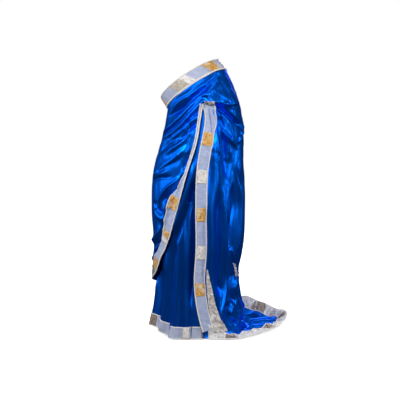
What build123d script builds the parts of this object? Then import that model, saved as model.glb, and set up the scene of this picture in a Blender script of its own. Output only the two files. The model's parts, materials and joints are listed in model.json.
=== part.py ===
"""Draped satin costume skirt with a brocade border, worn from the waist to the floor, with a train.

Millimetres, +Z up. X runs from the front of the wearer (-X) to the back (+X), and the draped hip faces -Y.
The cloth layers are thin shells of one family of body-shaped lofts, so every border, piping and patch
follows the layer that carries it. Edges are drawn in the side view, (x, z), and pushed through a shell.
"""

import os
from math import atan2, cos, degrees, hypot, sin

from build123d import *

# ---------------------------------------------------------------------------------------------------------
# Driving dimensions
# ---------------------------------------------------------------------------------------------------------
BODY_Y = -20.0  # the wearer's middle, from side to side
CLOTH = 1.6  # satin with its backing
SEWN_GAP = 0.35  # between a layer and what is sewn on it
BORDER_WIDTH = 50.0
BORDER_THICK = 0.8
PIPING_WIDTH = 5.0
PIPING_THICK = 1.6
PATCH_LENGTH = 53.0
PATCH_PITCH = 148.0
PATCH_WIDTH = 36.0
CASCADE_PATCH_WIDTH = 30.0  # clear of the piping on the narrower cascade
PATCH_GAP = 0.15
PATCH_THICK = 0.6
ON_CLOTH = CLOTH + SEWN_GAP  # where a border starts, out from the inner face of its cloth
ON_BORDER = ON_CLOTH + BORDER_THICK + PATCH_GAP
BELOW_FLOOR = -60.0
REACH = 420.0  # an outline is pushed this far, which is past the body on either side

# Sections of the outer wrap: height, front (-X), back (+X), half depth.
WRAP = [
    (1180.0, -222.0, -8.0, 115.0),
    (1040.0, -216.0, 48.0, 136.0),
    (930.0, -218.0, 84.0, 158.0),
    (820.0, -239.0, 95.0, 179.0),
    (680.0, -276.0, 97.0, 191.0),
    (520.0, -286.0, 98.0, 194.0),
    (380.0, -279.0, 95.0, 190.0),
    (240.0, -284.0, 80.0, 185.0),
    (120.0, -290.0, 94.0, 188.0),
    (0.0, -300.0, 108.0, 192.0),
]
UNDER_INSET = 11.0  # the underskirt hangs this far inside the wrap
UNDERSKIRT = [(z, front + UNDER_INSET, back - UNDER_INSET, deep - UNDER_INSET) for z, front, back,
              deep in WRAP[:7]]
UNDERSKIRT += [(240.0, -266.0, 66.0, 174.0), (120.0, -279.0, 70.0, 179.0), (0.0, -302.0, 76.0, 186.0)]
PETTICOAT_INSET = 5.0
PETTICOAT_THICK = 1.0
PETTICOAT = [(z, front + PETTICOAT_INSET, back - PETTICOAT_INSET, deep - PETTICOAT_INSET)
             for z, front, back, deep in UNDERSKIRT]
PETTICOAT_HEM = 60.0
WRAP_HEM = 10.0

# Waist: the seam ring lies on a plane that dips to the front and a little to the far hip.
WAIST_CENTRE = (-96.0, BODY_Y, 1012.0)
WAIST_TILT_SIDE = -13.0
WAIST_TILT_BACK = 32.0
WAIST_HALF_WIDTH = 143.0
WAIST_HALF_DEPTH = 140.0
SEAM_DROP = 5.0  # the cloth stops this far under the band
STAY_THICK = 1.0
STAY_WIDTH = 40.0
STAY_LOW = 3.0  # above the seam
WAISTBAND_THICK = 1.2
WAIST_PATCH_OUT = WAISTBAND_THICK + PATCH_GAP
WAIST_PATCH_ANGLES = [239.0, 290.0, 341.0, 32.0, 137.0, 188.0]  # round the ring, clear of the closure

# Edges of the outer wrap in the side view: the slit opens below the hip gather.
FRONT_EDGE = [(-80.0, 951.0), (-99.0, 808.0), (-152.0, 649.0), (-198.0, 487.0), (-246.0, 332.0), (-286.0,
                                                                                                  223.0),
              (-345.0, 110.0)]
CASCADE_EDGE = [(-66.0, 951.0), (-85.0, 769.0), (-99.0, 568.0), (-104.0, 324.0), (-93.0, 118.0), (-58.0,
                                                                                                  -20.0)]
FAR_EDGE = [(-345.0, 262.0), (-286.0, 214.0), (-240.0, 174.0), (-110.0, 72.0), (30.0, -20.0)]
GATHER_FOOT = 946.0  # the trims stop under the gather
CASCADE_WIDTH = 44.0
CASCADE_FIRST_PATCH = 126.0  # down the edge from its top to the middle of the first patch
CASCADE_PATCHES = 6
RETURN_CLEAR = 5.0
CASCADE_RETURN_EDGE = [(-50.0, 318.0), (-26.0, 201.0), (-6.0, 118.0), (26.0, -20.0)]
TOP_FOLD_OUTLINE = [(-68.0, 966.0), (-26.0, 966.0), (-30.0, 905.0), (-66.0, 872.0)]
TOP_FOLD_OUT = 6.0
PINCH_OUTLINE = [(48.0, 300.0), (77.0, 284.0), (70.0, 236.0)]
FRONT_LAP = 6.0  # the front border runs on this far under the height at which the far one starts
FRONT_BORDER_TOP = 700.0
FRONT_FIRST_PATCH = 420.0  # down the edge from its top
FRONT_PATCHES = 3
FAR_FIRST_PATCH = 160.0
FAR_PATCHES = 2

# Underskirt hem and its box pleat
HEM_FOOT = 1.5
HEM_PATCHES = 8
PLEAT_OUTLINE = [(-165.0, 560.0), (-116.0, 560.0), (-126.0, 0.0), (-212.0, 0.0)]

# Train, seen from above: its outline runs from the draped hip round the back to the far hip
FOLD_LINE = 120.0  # x of the line where the train bends up off the floor
TRAIN_GAP = 2.0
ROOT_START = 20.0  # the train starts this far in front of the middle
TRAIN_THICK = 3.0
TRAIN_PROFILE = [(-60.0, 0.0), (180.0, 0.0), (250.0, 9.0), (330.0, 34.0)]  # (x, z) of its underside
TRAIN_OUTLINE = [(-36.0, -213.0), (40.0, -222.0), (124.0, -176.0), (218.0, -92.0), (286.0, 20.0),
                 (304.0, 110.0), (268.0, 196.0), (190.0, 222.0), (100.0, 222.0), (20.0, 206.0), (-24.0,
                                                                                                 182.0)]
TRAIN_FIRST_PATCH = 205.0
TRAIN_PATCHES = 4
FOLD_CORNERS = [(132.0, 130.0, 84.0), (206.0, 4.0, 14.0), (128.0, -34.0, 12.0)]
FOLD_THICK = 1.6

# Zip in the far hip seam, where the wrap is straight from top to bottom
ZIP_X = -84.0
ZIP_TOP = 978.0
ZIP_LENGTH = 170.0
ZIP_SLOT = 15.0
SLOT_TOP = 130.0  # the slot runs on this far over the zip, through the waistband
SLOT_FOOT = 10.0
SLOT_REACH = 30.0
ZIP_DEPTH = 3.6  # the zip's middle plane lies this far inside the wrap's inner face
TAPE_WIDTH = 10.0
TAPE_THICK = 0.6
TOOTH_PITCH = 3.0
TOOTH_WIDTH, TOOTH_HIGH, TOOTH_DEEP = 2.4, 1.9, 1.8
TOOTH_GAP = 1.4  # between the two rows, which the slider's bridge rides in
SLIDER_LENGTH, SLIDER_WIDTH, SLIDER_PLATE = 12.0, 9.0, 0.9
SLIDER_CLEAR = 0.3
SLIDER_BRIDGE = 0.8
SLIDER_START = -9.0  # of the slider's middle, down from the top of the zip
LUG_WIDTH = 1.2
PULL_LENGTH, PULL_WIDTH, PULL_THICK = 26.0, 6.4, 1.0
PULL_NECK = 6.5  # the pull is narrow this far down, to clear the slider's lugs
PULL_PIN_RADIUS = 0.7
PULL_EYE_WALL = 0.8
SLIDER_CORNER = 1.5
PULL_CORNER = 1.2
PULL_EYE = 1.0  # radius of the hole that the pin sits in

# Hook and bar that close the waistband over the zip: places along the ring, from the zip's middle
HOOK_PLATE = (-24.0, -9.0)
HOOK_TONGUE = (-9.0, 15.0)
HOOK_BAR = (11.0, 14.0)
HOOK_THICK = 0.9
HOOK_HEIGHTS = (19.0, 31.0)
TONGUE_HEIGHTS = (22.5, 27.5)
BAR_FOOT = 2.4

# Safety pin behind the hip gather
PIN_PLACE = (-32.0, 962.0)  # middle of the pin in the side view
PIN_DEPTH = 4.7  # inside the wrap's inner face
PIN_LENGTH = 40.0  # from the coil's middle to the closed end
PIN_WIRE = 0.6  # radius
NEEDLE_SLACK = 0.05  # the needle is this much thinner, so that it runs into its coil
CAP_CORNER = 3.0
PIN_COIL = 3.2  # radius of the coil, and half the gap between the two wires
PIN_STACK = 0.7  # the needle and the back wire lie this far either side of the pin's plane
PIN_CLEAR = 0.25
CAP_LENGTH = 11.0
CAP_WALL = 0.5

# ---------------------------------------------------------------------------------------------------------
# Helpers: each acts on the part that is being built
# ---------------------------------------------------------------------------------------------------------
side_view = Plane.XZ.offset(-BODY_Y)


def sections(stations, out):
    """Section faces of a body-shaped loft, pushed out all round."""
    faces = []
    for height, front, back, half_depth in stations:
        with BuildSketch(Plane.XY.offset(height)) as section:
            with Locations(((front + back) / 2, BODY_Y)):
                Ellipse((back - front) / 2 + out, half_depth + out)
        faces.append(section.sketch.face())
    return faces


def cloth_shell(stations, inner, outer):
    """Adds a layer of cloth that lies between two distances out from the stations."""
    loft(sections(stations, outer))
    loft(sections(stations, inner), mode=Mode.SUBTRACT)


def keep_side(face, side=1):
    """Keeps what the side-view face covers, on the draped hip's side (1) or the far side (-1)."""
    extrude(face, amount=side * REACH, mode=Mode.INTERSECT)


def drop_side(face, side=1):
    """Removes what the side-view face covers, on the draped hip's side (1) or the far side (-1)."""
    extrude(face, amount=side * REACH, mode=Mode.SUBTRACT)


def keep_heights(low, high):
    """Keeps a level slice of the part."""
    split(bisect_by=Plane.XY.offset(low), keep=Keep.TOP)
    split(bisect_by=Plane.XY.offset(high), keep=Keep.BOTTOM)


def beside(points, distance):
    """The points moved square to the curve through them, to its right-hand side as it runs."""
    moved = []
    for i, (x, z) in enumerate(points):
        before, after = points[max(i - 1, 0)], points[min(i + 1, len(points) - 1)]
        run_x, run_z = after[0] - before[0], after[1] - before[1]
        size = hypot(run_x, run_z)
        moved.append((x + distance * run_z / size, z - distance * run_x / size))
    return moved


def strip_between(first, second):
    """The side-view face between two curves given by their points, both running downwards."""
    with BuildSketch(side_view) as strip:
        with BuildLine():
            one = Spline(*first)
            other = Spline(*second)
            Line(one @ 0, other @ 0)
            Line(one @ 1, other @ 1)
        make_face()
    return strip.sketch.face()


def band(edge, start, end):
    """The side-view face of a band along an edge, between two distances on its right-hand side."""
    return strip_between(beside(edge, start), beside(edge, end))


def polygon_face(corners):
    """A side-view face with straight edges."""
    with BuildSketch(side_view) as shape:
        with BuildLine():
            Polyline(*corners, close=True)
        make_face()
    return shape.sketch.face()


def patch_faces(plane, edge, middle, distances, width=PATCH_WIDTH):
    """Patches along an edge drawn on a plane: their middles lie at distances down the band's middle line."""
    with BuildLine() as line:
        Spline(*beside(edge, middle))
    track = line.line.edge()
    faces = []
    for distance in distances:
        place = track.position_at(distance, position_mode=PositionMode.LENGTH)
        heading = track.tangent_at(distance, position_mode=PositionMode.LENGTH)
        with BuildSketch(plane) as patch:
            with Locations((place.X, place.Y)):
                Rectangle(PATCH_LENGTH, width, rotation=degrees(atan2(heading.Y, heading.X)))
        faces.append(patch.sketch.face())
    return faces


def keep_patches(faces, side=1):
    """Keeps what the side-view rectangles cover."""
    extrude(faces, amount=side * REACH, mode=Mode.INTERSECT)


os.makedirs("parts", exist_ok=True)

# ---------------------------------------------------------------------------------------------------------
# Cutters
# ---------------------------------------------------------------------------------------------------------
waist_plane = Plane(WAIST_CENTRE).rotated((WAIST_TILT_SIDE, -WAIST_TILT_BACK, 0))

with BuildPart() as above_seam:
    with BuildSketch(waist_plane.offset(-SEAM_DROP)):
        Rectangle(4 * WAIST_HALF_WIDTH, 4 * WAIST_HALF_WIDTH)
    extrude(amount=REACH)

zip_rise = (WRAP[3][3] - WRAP[1][3]) / (WRAP[1][0] - WRAP[3][0])
zip_y = BODY_Y + WRAP[1][3] + (WRAP[1][0] - ZIP_TOP) * zip_rise
zip_lean = atan2(zip_rise, 1)
zip_plane = Plane(origin=(ZIP_X, zip_y, ZIP_TOP), x_dir=(-1, 0, 0), z_dir=(0, cos(zip_lean), sin(zip_lean)))
zip_middle = zip_plane.offset(-ZIP_DEPTH)

with BuildPart() as zip_slot:
    with BuildSketch(zip_plane.offset(-SLOT_REACH)):
        with Locations((0, SLOT_TOP - (ZIP_LENGTH + SLOT_TOP + SLOT_FOOT) / 2)):
            Rectangle(ZIP_SLOT, ZIP_LENGTH + SLOT_TOP + SLOT_FOOT)
    extrude(amount=2 * SLOT_REACH)

# ---------------------------------------------------------------------------------------------------------
# Lining layers
# ---------------------------------------------------------------------------------------------------------
with BuildPart() as petticoat:
    cloth_shell(PETTICOAT, 0, PETTICOAT_THICK)
    add(above_seam.part, mode=Mode.SUBTRACT)
    add(zip_slot.part, mode=Mode.SUBTRACT)
    split(bisect_by=Plane.XY.offset(PETTICOAT_HEM), keep=Keep.TOP)
petticoat.part.label = "petticoat"
export_step(petticoat.part, "parts/petticoat.step")

with BuildPart() as underskirt:
    cloth_shell(UNDERSKIRT, 0, CLOTH)
    add(above_seam.part, mode=Mode.SUBTRACT)
    add(zip_slot.part, mode=Mode.SUBTRACT)
underskirt.part.label = "underskirt"
export_step(underskirt.part, "parts/underskirt.step")

# ---------------------------------------------------------------------------------------------------------
# Box pleat on the front of the underskirt
# ---------------------------------------------------------------------------------------------------------
pleat_face = polygon_face(PLEAT_OUTLINE)

with BuildPart() as box_pleat:
    cloth_shell(UNDERSKIRT, ON_CLOTH, ON_CLOTH + CLOTH)
    keep_side(pleat_face)
box_pleat.part.label = "box_pleat"
export_step(box_pleat.part, "parts/box_pleat.step")

ON_PLEAT = 2 * ON_CLOTH
PLEAT_BORDER_OUT = ON_PLEAT + BORDER_THICK
hem_top = HEM_FOOT + BORDER_WIDTH

with BuildPart() as box_pleat_border:
    cloth_shell(UNDERSKIRT, ON_PLEAT, PLEAT_BORDER_OUT)
    keep_side(pleat_face)
    keep_heights(HEM_FOOT + PIPING_WIDTH, hem_top - PIPING_WIDTH)
box_pleat_border.part.label = "box_pleat_border"
export_step(box_pleat_border.part, "parts/box_pleat_border.step")

with BuildPart() as box_pleat_piping:
    cloth_shell(UNDERSKIRT, ON_PLEAT, ON_PLEAT + PIPING_THICK)
    keep_side(pleat_face)
    keep_heights(hem_top - PIPING_WIDTH, hem_top)
box_pleat_piping.part.label = "box_pleat_piping"
export_step(box_pleat_piping.part, "parts/box_pleat_piping.step")

with BuildPart() as box_pleat_patch:
    cloth_shell(UNDERSKIRT, PLEAT_BORDER_OUT + PATCH_GAP, PLEAT_BORDER_OUT + PATCH_GAP + PATCH_THICK)
    with BuildSketch(side_view):
        with Locations((sum(x for x, z in PLEAT_OUTLINE[2:]) / 2, HEM_FOOT + BORDER_WIDTH / 2)):
            Rectangle(PATCH_LENGTH, PATCH_WIDTH)
    extrude(amount=REACH, mode=Mode.INTERSECT)
box_pleat_patch.part.label = "box_pleat_patch"
export_step(box_pleat_patch.part, "parts/box_pleat_patch.step")

# ---------------------------------------------------------------------------------------------------------
# Underskirt hem
# ---------------------------------------------------------------------------------------------------------
with BuildPart() as hem_border:
    cloth_shell(UNDERSKIRT, ON_CLOTH, ON_CLOTH + BORDER_THICK)
    keep_heights(HEM_FOOT + PIPING_WIDTH, hem_top - PIPING_WIDTH)
    drop_side(pleat_face)
hem_border.part.label = "hem_border"
export_step(hem_border.part, "parts/hem_border.step")

with BuildPart() as hem_foot_piping:
    cloth_shell(UNDERSKIRT, ON_CLOTH, ON_CLOTH + PIPING_THICK)
    keep_heights(HEM_FOOT, HEM_FOOT + PIPING_WIDTH)
    drop_side(pleat_face)
hem_foot_piping.part.label = "hem_foot_piping"
export_step(hem_foot_piping.part, "parts/hem_foot_piping.step")

with BuildPart() as hem_top_piping:
    cloth_shell(UNDERSKIRT, ON_CLOTH, ON_CLOTH + PIPING_THICK)
    keep_heights(hem_top - PIPING_WIDTH, hem_top)
    drop_side(pleat_face)
hem_top_piping.part.label = "hem_top_piping"
export_step(hem_top_piping.part, "parts/hem_top_piping.step")

hem_z, hem_front, hem_back, hem_deep = UNDERSKIRT[-1]
with BuildPart() as hem_patches:
    cloth_shell(UNDERSKIRT, ON_BORDER, ON_BORDER + PATCH_THICK)
    with BuildSketch(Plane.XY.offset(HEM_FOOT + (BORDER_WIDTH - PATCH_WIDTH) / 2)):
        with Locations(((hem_front + hem_back) / 2, BODY_Y)):
            with PolarLocations(hem_deep, HEM_PATCHES):
                Rectangle(hem_deep, PATCH_LENGTH)
    extrude(amount=PATCH_WIDTH, mode=Mode.INTERSECT)
    drop_side(pleat_face)
hem_patches.part.label = "hem_patches"
export_step(hem_patches.part, "parts/hem_patches.step")

# ---------------------------------------------------------------------------------------------------------
# Outer wrap
# ---------------------------------------------------------------------------------------------------------
with BuildSketch(side_view) as front_open:
    with BuildLine():
        front_line = Spline(*FRONT_EDGE)
        cascade_line = Spline(*CASCADE_EDGE)
        Line(front_line @ 0, cascade_line @ 0)
        Polyline(front_line @ 1, (FRONT_EDGE[-1][0], BELOW_FLOOR), (CASCADE_EDGE[-1][0], BELOW_FLOOR),
                 cascade_line @ 1)
    make_face()
with BuildSketch(side_view) as far_open:
    with BuildLine():
        far_line = Spline(*FAR_EDGE)
        Polyline(far_line @ 0, (FAR_EDGE[0][0], BELOW_FLOOR), (FAR_EDGE[-1][0], BELOW_FLOOR), far_line @ 1)
    make_face()

with BuildPart() as outer_wrap:
    cloth_shell(WRAP, 0, CLOTH)
    add(above_seam.part, mode=Mode.SUBTRACT)
    add(zip_slot.part, mode=Mode.SUBTRACT)
    split(bisect_by=Plane.XY.offset(WRAP_HEM), keep=Keep.TOP)
    drop_side(front_open.sketch.face())
    drop_side(far_open.sketch.face(), side=-1)
outer_wrap.part.label = "outer_wrap"
export_step(outer_wrap.part, "parts/outer_wrap.step")


# ---------------------------------------------------------------------------------------------------------
# Borders along the wrap's edges: band, piping on both sides, brocade patches in two colours
# ---------------------------------------------------------------------------------------------------------
def edge_band(edge, start, end, thickness, low, high, side=1):
    """A strip of trim on the wrap, between two distances from an edge and between two heights."""
    with BuildPart() as trim:
        cloth_shell(WRAP, ON_CLOTH, ON_CLOTH + thickness)
        keep_side(band(edge, start, end), side)
        keep_heights(low, high)
    return trim.part


def edge_patches(edge, width, distances, side=1, patch_width=PATCH_WIDTH):
    """Brocade patches on the band along an edge."""
    with BuildPart() as patches:
        cloth_shell(WRAP, ON_BORDER, ON_BORDER + PATCH_THICK)
        keep_patches(patch_faces(side_view, edge, width / 2, distances, patch_width), side)
    return patches.part


def write(part, name):
    """Labels a finished piece and writes its file."""
    part.label = name
    export_step(part, f"parts/{name}.step")


front_low = FAR_EDGE[1][1] - FRONT_LAP
write(edge_band(FRONT_EDGE, PIPING_WIDTH, BORDER_WIDTH - PIPING_WIDTH, BORDER_THICK, front_low,
                FRONT_BORDER_TOP),
      "front_border")
write(edge_band(FRONT_EDGE, 0, PIPING_WIDTH, PIPING_THICK, front_low, GATHER_FOOT), "front_edge_piping")
write(edge_band(FRONT_EDGE, BORDER_WIDTH - PIPING_WIDTH, BORDER_WIDTH, PIPING_THICK, front_low,
                FRONT_BORDER_TOP),
      "front_inner_piping")
front_run = [FRONT_FIRST_PATCH + PATCH_PITCH * i for i in range(FRONT_PATCHES)]
write(edge_patches(FRONT_EDGE, BORDER_WIDTH, front_run[::2]), "front_gold_patches")
write(edge_patches(FRONT_EDGE, BORDER_WIDTH, front_run[1::2]), "front_cream_patches")

# The same border carried on round the far side
far_high = FAR_EDGE[1][1] + BORDER_WIDTH
write(edge_band(FAR_EDGE, -BORDER_WIDTH + PIPING_WIDTH, -PIPING_WIDTH, BORDER_THICK, WRAP_HEM, far_high,
                side=-1),
      "far_border")
write(edge_band(FAR_EDGE, -PIPING_WIDTH, 0, PIPING_THICK, WRAP_HEM, far_high, side=-1), "far_edge_piping")
write(edge_band(FAR_EDGE, -BORDER_WIDTH, -BORDER_WIDTH + PIPING_WIDTH, PIPING_THICK, WRAP_HEM, far_high,
                side=-1),
      "far_inner_piping")
far_run = [FAR_FIRST_PATCH + PATCH_PITCH * i for i in range(FAR_PATCHES)]
write(edge_patches(FAR_EDGE, -BORDER_WIDTH, far_run, side=-1), "far_patches")

# The cascade: the border that falls from the gather to the floor
write(edge_band(CASCADE_EDGE, -CASCADE_WIDTH + PIPING_WIDTH, -PIPING_WIDTH, BORDER_THICK, WRAP_HEM,
                GATHER_FOOT),
      "cascade_border")
write(edge_band(CASCADE_EDGE, -PIPING_WIDTH, 0, PIPING_THICK, WRAP_HEM, GATHER_FOOT), "cascade_edge_piping")
write(edge_band(CASCADE_EDGE, -CASCADE_WIDTH, -CASCADE_WIDTH + PIPING_WIDTH, PIPING_THICK, WRAP_HEM,
                GATHER_FOOT),
      "cascade_back_piping")
cascade_run = [CASCADE_FIRST_PATCH + PATCH_PITCH * i for i in range(CASCADE_PATCHES)]
write(edge_patches(CASCADE_EDGE, -CASCADE_WIDTH, cascade_run[::2], patch_width=CASCADE_PATCH_WIDTH),
      "cascade_gold_patches")
write(edge_patches(CASCADE_EDGE, -CASCADE_WIDTH, cascade_run[1::2], patch_width=CASCADE_PATCH_WIDTH),
      "cascade_cream_patches")

with BuildPart() as cascade_return:
    cloth_shell(WRAP, ON_CLOTH, ON_CLOTH + BORDER_THICK)
    keep_side(strip_between(beside(CASCADE_EDGE, -CASCADE_WIDTH - RETURN_CLEAR)[3:], CASCADE_RETURN_EDGE))
    keep_heights(WRAP_HEM, REACH)
write(cascade_return.part, "cascade_return")

with BuildPart() as cascade_top_fold:
    cloth_shell(WRAP, TOP_FOLD_OUT, TOP_FOLD_OUT + 2 * CLOTH)
    keep_side(polygon_face(TOP_FOLD_OUTLINE))
write(cascade_top_fold.part, "cascade_top_fold")

with BuildPart() as back_pinch_border:
    cloth_shell(WRAP, ON_CLOTH, ON_CLOTH + BORDER_THICK)
    keep_side(polygon_face(PINCH_OUTLINE))
write(back_pinch_border.part, "back_pinch_border")


# ---------------------------------------------------------------------------------------------------------
# Waistband
# ---------------------------------------------------------------------------------------------------------
def waist_ring(low, high, inner, outer):
    """A ring on the waist plane, between two heights above the seam and two distances out from it."""
    with BuildPart() as ring:
        with BuildSketch(waist_plane.offset(low)):
            Ellipse(WAIST_HALF_WIDTH + outer, WAIST_HALF_DEPTH + outer)
            Ellipse(WAIST_HALF_WIDTH + inner, WAIST_HALF_DEPTH + inner, mode=Mode.SUBTRACT)
        extrude(amount=high - low)
        add(zip_slot.part, mode=Mode.SUBTRACT)
    return ring.part


def waist_patches(angles):
    """Brocade patches at angles round the waistband."""
    with BuildPart() as patches:
        with BuildSketch(waist_plane.offset((BORDER_WIDTH - PATCH_WIDTH) / 2)):
            for angle in angles:
                with PolarLocations(WAIST_HALF_DEPTH, 1, start_angle=angle):
                    Rectangle(WAIST_HALF_DEPTH, PATCH_LENGTH)
            Ellipse(WAIST_HALF_WIDTH + WAIST_PATCH_OUT + PATCH_THICK,
                    WAIST_HALF_DEPTH + WAIST_PATCH_OUT + PATCH_THICK,
                    mode=Mode.INTERSECT)
            Ellipse(WAIST_HALF_WIDTH + WAIST_PATCH_OUT, WAIST_HALF_DEPTH + WAIST_PATCH_OUT,
                    mode=Mode.SUBTRACT)
        extrude(amount=PATCH_WIDTH)
    return patches.part


write(waist_ring(PIPING_WIDTH, BORDER_WIDTH - PIPING_WIDTH, 0, WAISTBAND_THICK), "waist_border")
write(waist_ring(0, PIPING_WIDTH, 0, PIPING_THICK), "waist_seam_piping")
write(waist_ring(BORDER_WIDTH - PIPING_WIDTH, BORDER_WIDTH, 0, PIPING_THICK), "waist_top_piping")
write(waist_patches(WAIST_PATCH_ANGLES[::2]), "waist_cream_patches")
write(waist_patches(WAIST_PATCH_ANGLES[1::2]), "waist_gold_patches")
write(waist_ring(STAY_LOW, STAY_LOW + STAY_WIDTH, -SEWN_GAP - STAY_THICK, -SEWN_GAP), "waist_stay")


def waist_tab(heights, inner, outer, span):
    """Adds a piece of ring inside the band on the far side, between two places along it."""
    start, end = (ZIP_X - WAIST_CENTRE[0] + place for place in span)
    with BuildSketch(waist_plane.offset(heights[0])) as tab:
        Ellipse(WAIST_HALF_WIDTH + outer, WAIST_HALF_DEPTH + outer)
        Ellipse(WAIST_HALF_WIDTH + inner, WAIST_HALF_DEPTH + inner, mode=Mode.SUBTRACT)
        with Locations(((start + end) / 2, WAIST_HALF_DEPTH)):
            Rectangle(end - start, WAIST_HALF_DEPTH, mode=Mode.INTERSECT)
    extrude(tab.sketch.face(), amount=heights[1] - heights[0])


hook_out = -2 * SEWN_GAP - STAY_THICK
with BuildPart() as waist_hook:
    waist_tab(HOOK_HEIGHTS, hook_out - HOOK_THICK, hook_out, HOOK_PLATE)
    waist_tab(TONGUE_HEIGHTS, hook_out - HOOK_THICK, hook_out, HOOK_TONGUE)
write(waist_hook.part, "waist_hook")

bar_out = hook_out - HOOK_THICK - SEWN_GAP
with BuildPart() as waist_bar:
    waist_tab(HOOK_HEIGHTS, bar_out - HOOK_THICK, bar_out, HOOK_BAR)
    waist_tab((HOOK_HEIGHTS[0], HOOK_HEIGHTS[0] + BAR_FOOT), bar_out, hook_out, HOOK_BAR)
    waist_tab((HOOK_HEIGHTS[1] - BAR_FOOT, HOOK_HEIGHTS[1]), bar_out, hook_out, HOOK_BAR)
write(waist_bar.part, "waist_bar")

# ---------------------------------------------------------------------------------------------------------
# Zip: on the middle plane x runs to the front, y up and z outwards
# ---------------------------------------------------------------------------------------------------------
row_start = TOOTH_GAP / 2
tape_start = row_start + TOOTH_WIDTH
stop_high = 2.0
teeth = round((ZIP_LENGTH - 4 * stop_high) / TOOTH_PITCH)
cover = TOOTH_DEEP / 2 + SLIDER_CLEAR  # inner face of the slider's plates
slider_face = cover + SLIDER_PLATE
pin_out = slider_face + PULL_EYE + PULL_THICK
slider_plane = Plane(origin=zip_middle.from_local_coords((0, SLIDER_START, 0)), x_dir=zip_middle.x_dir,
                     z_dir=zip_middle.z_dir)
pull_plane = slider_plane.offset(pin_out)

for side, name in ((1, "front"), (-1, "back")):
    with BuildPart() as tape:
        with BuildSketch(zip_middle.offset(-TAPE_THICK / 2)):
            with Locations((side * (tape_start + TAPE_WIDTH / 2), -ZIP_LENGTH / 2)):
                Rectangle(TAPE_WIDTH, ZIP_LENGTH)
        extrude(amount=TAPE_THICK)
    write(tape.part, f"zip_tape_{name}")

    with BuildPart() as row:
        with BuildSketch(zip_middle.offset(-TOOTH_DEEP / 2)):
            stagger = side * TOOTH_PITCH / 4
            with Locations((side * (row_start + TOOTH_WIDTH / 2), stagger - ZIP_LENGTH / 2)):
                with GridLocations(1, TOOTH_PITCH, 1, teeth):
                    Rectangle(TOOTH_WIDTH, TOOTH_HIGH)
        extrude(amount=TOOTH_DEEP)
    write(row.part, f"zip_teeth_{name}")

    with BuildPart() as top_stop:
        with BuildSketch(zip_middle.offset(-TOOTH_DEEP / 2)):
            with Locations((side * (row_start + TOOTH_WIDTH / 2), -stop_high / 2)):
                Rectangle(TOOTH_WIDTH, stop_high)
        extrude(amount=TOOTH_DEEP)
    write(top_stop.part, f"zip_top_stop_{name}")

with BuildPart() as bottom_stop:
    with BuildSketch(zip_middle.offset(-TOOTH_DEEP / 2)):
        with Locations((0, stop_high / 2 - ZIP_LENGTH)):
            Rectangle(2 * tape_start, stop_high)
    extrude(amount=TOOTH_DEEP)
write(bottom_stop.part, "zip_bottom_stop")

with BuildPart() as zip_slider:
    for level in (-slider_face, cover):
        with BuildSketch(slider_plane.offset(level)):
            Rectangle(SLIDER_WIDTH, SLIDER_LENGTH)
            fillet(vertices(), SLIDER_CORNER)
        extrude(amount=SLIDER_PLATE)
    with BuildSketch(slider_plane.offset(-cover)):
        Rectangle(SLIDER_BRIDGE, SLIDER_LENGTH / 2)
    extrude(amount=2 * cover)
    for level in (-cover, TAPE_THICK / 2 + SLIDER_CLEAR):
        with BuildSketch(slider_plane.offset(level)):
            with GridLocations(SLIDER_WIDTH - 1, 1, 2, 1):
                Rectangle(1, SLIDER_LENGTH - 3)
        extrude(amount=cover - TAPE_THICK / 2 - SLIDER_CLEAR)
    with BuildSketch(slider_plane.offset(slider_face - 0.2)):
        with GridLocations(SLIDER_WIDTH - 2 * LUG_WIDTH, 1, 2, 1):
            Rectangle(LUG_WIDTH, 2 * PULL_EYE + 1)
    extrude(amount=pin_out - slider_face + PULL_EYE)
    with Locations(pull_plane.location):
        Cylinder(PULL_PIN_RADIUS, SLIDER_WIDTH - 2 * LUG_WIDTH, rotation=(0, 90, 0))
write(zip_slider.part, "zip_slider")

eye_length = SLIDER_WIDTH - 3 * LUG_WIDTH - 2 * SLIDER_CLEAR
with BuildPart() as zip_pull:
    with Locations(pull_plane.location):
        Cylinder(PULL_EYE + PULL_EYE_WALL, eye_length, rotation=(0, 90, 0))
    with BuildSketch(pull_plane.offset(-PULL_THICK / 2)):
        with Locations((0, -PULL_LENGTH / 2)):
            Rectangle(eye_length, PULL_LENGTH)
        with Locations((0, -(PULL_LENGTH + PULL_NECK) / 2)):
            Rectangle(PULL_WIDTH, PULL_LENGTH - PULL_NECK)
        fillet(vertices().group_by(Axis.Y)[0], PULL_CORNER)
    extrude(amount=PULL_THICK)
    with Locations(pull_plane.location):
        Cylinder(PULL_EYE, eye_length, rotation=(0, 90, 0), mode=Mode.SUBTRACT)
write(zip_pull.part, "zip_pull")
print("slider way", -zip_middle.y_dir, "pull axis through", pull_plane.origin)


# ---------------------------------------------------------------------------------------------------------
# Safety pin: x runs to the coil, y up and z outwards
# ---------------------------------------------------------------------------------------------------------
def wrap_tangent(x, z, depth):
    """The plane that lies along the wrap on the draped hip at (x, z), a depth inside it."""
    upper, lower = next(pair for pair in zip(WRAP, WRAP[1:]) if pair[1][0] <= z)
    share = (upper[0] - z) / (upper[0] - lower[0])
    front, back, deep = (u + (v - u) * share for u, v in zip(upper[1:], lower[1:]))
    from_middle = (x - (front + back) / 2) / ((back - front) / 2)
    reach = (1 - from_middle**2) ** 0.5
    normal = Vector(from_middle * deep, -reach * (back - front) / 2, 0).normalized()
    rise = (lower[3] - upper[3]) / (upper[0] - lower[0])
    outward = Vector(normal.X, normal.Y, rise).normalized()
    on_wrap = Vector(x, BODY_Y - reach * deep, z)
    return Plane(origin=on_wrap - outward * depth, x_dir=(-normal.Y, normal.X, 0), z_dir=outward)


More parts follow.
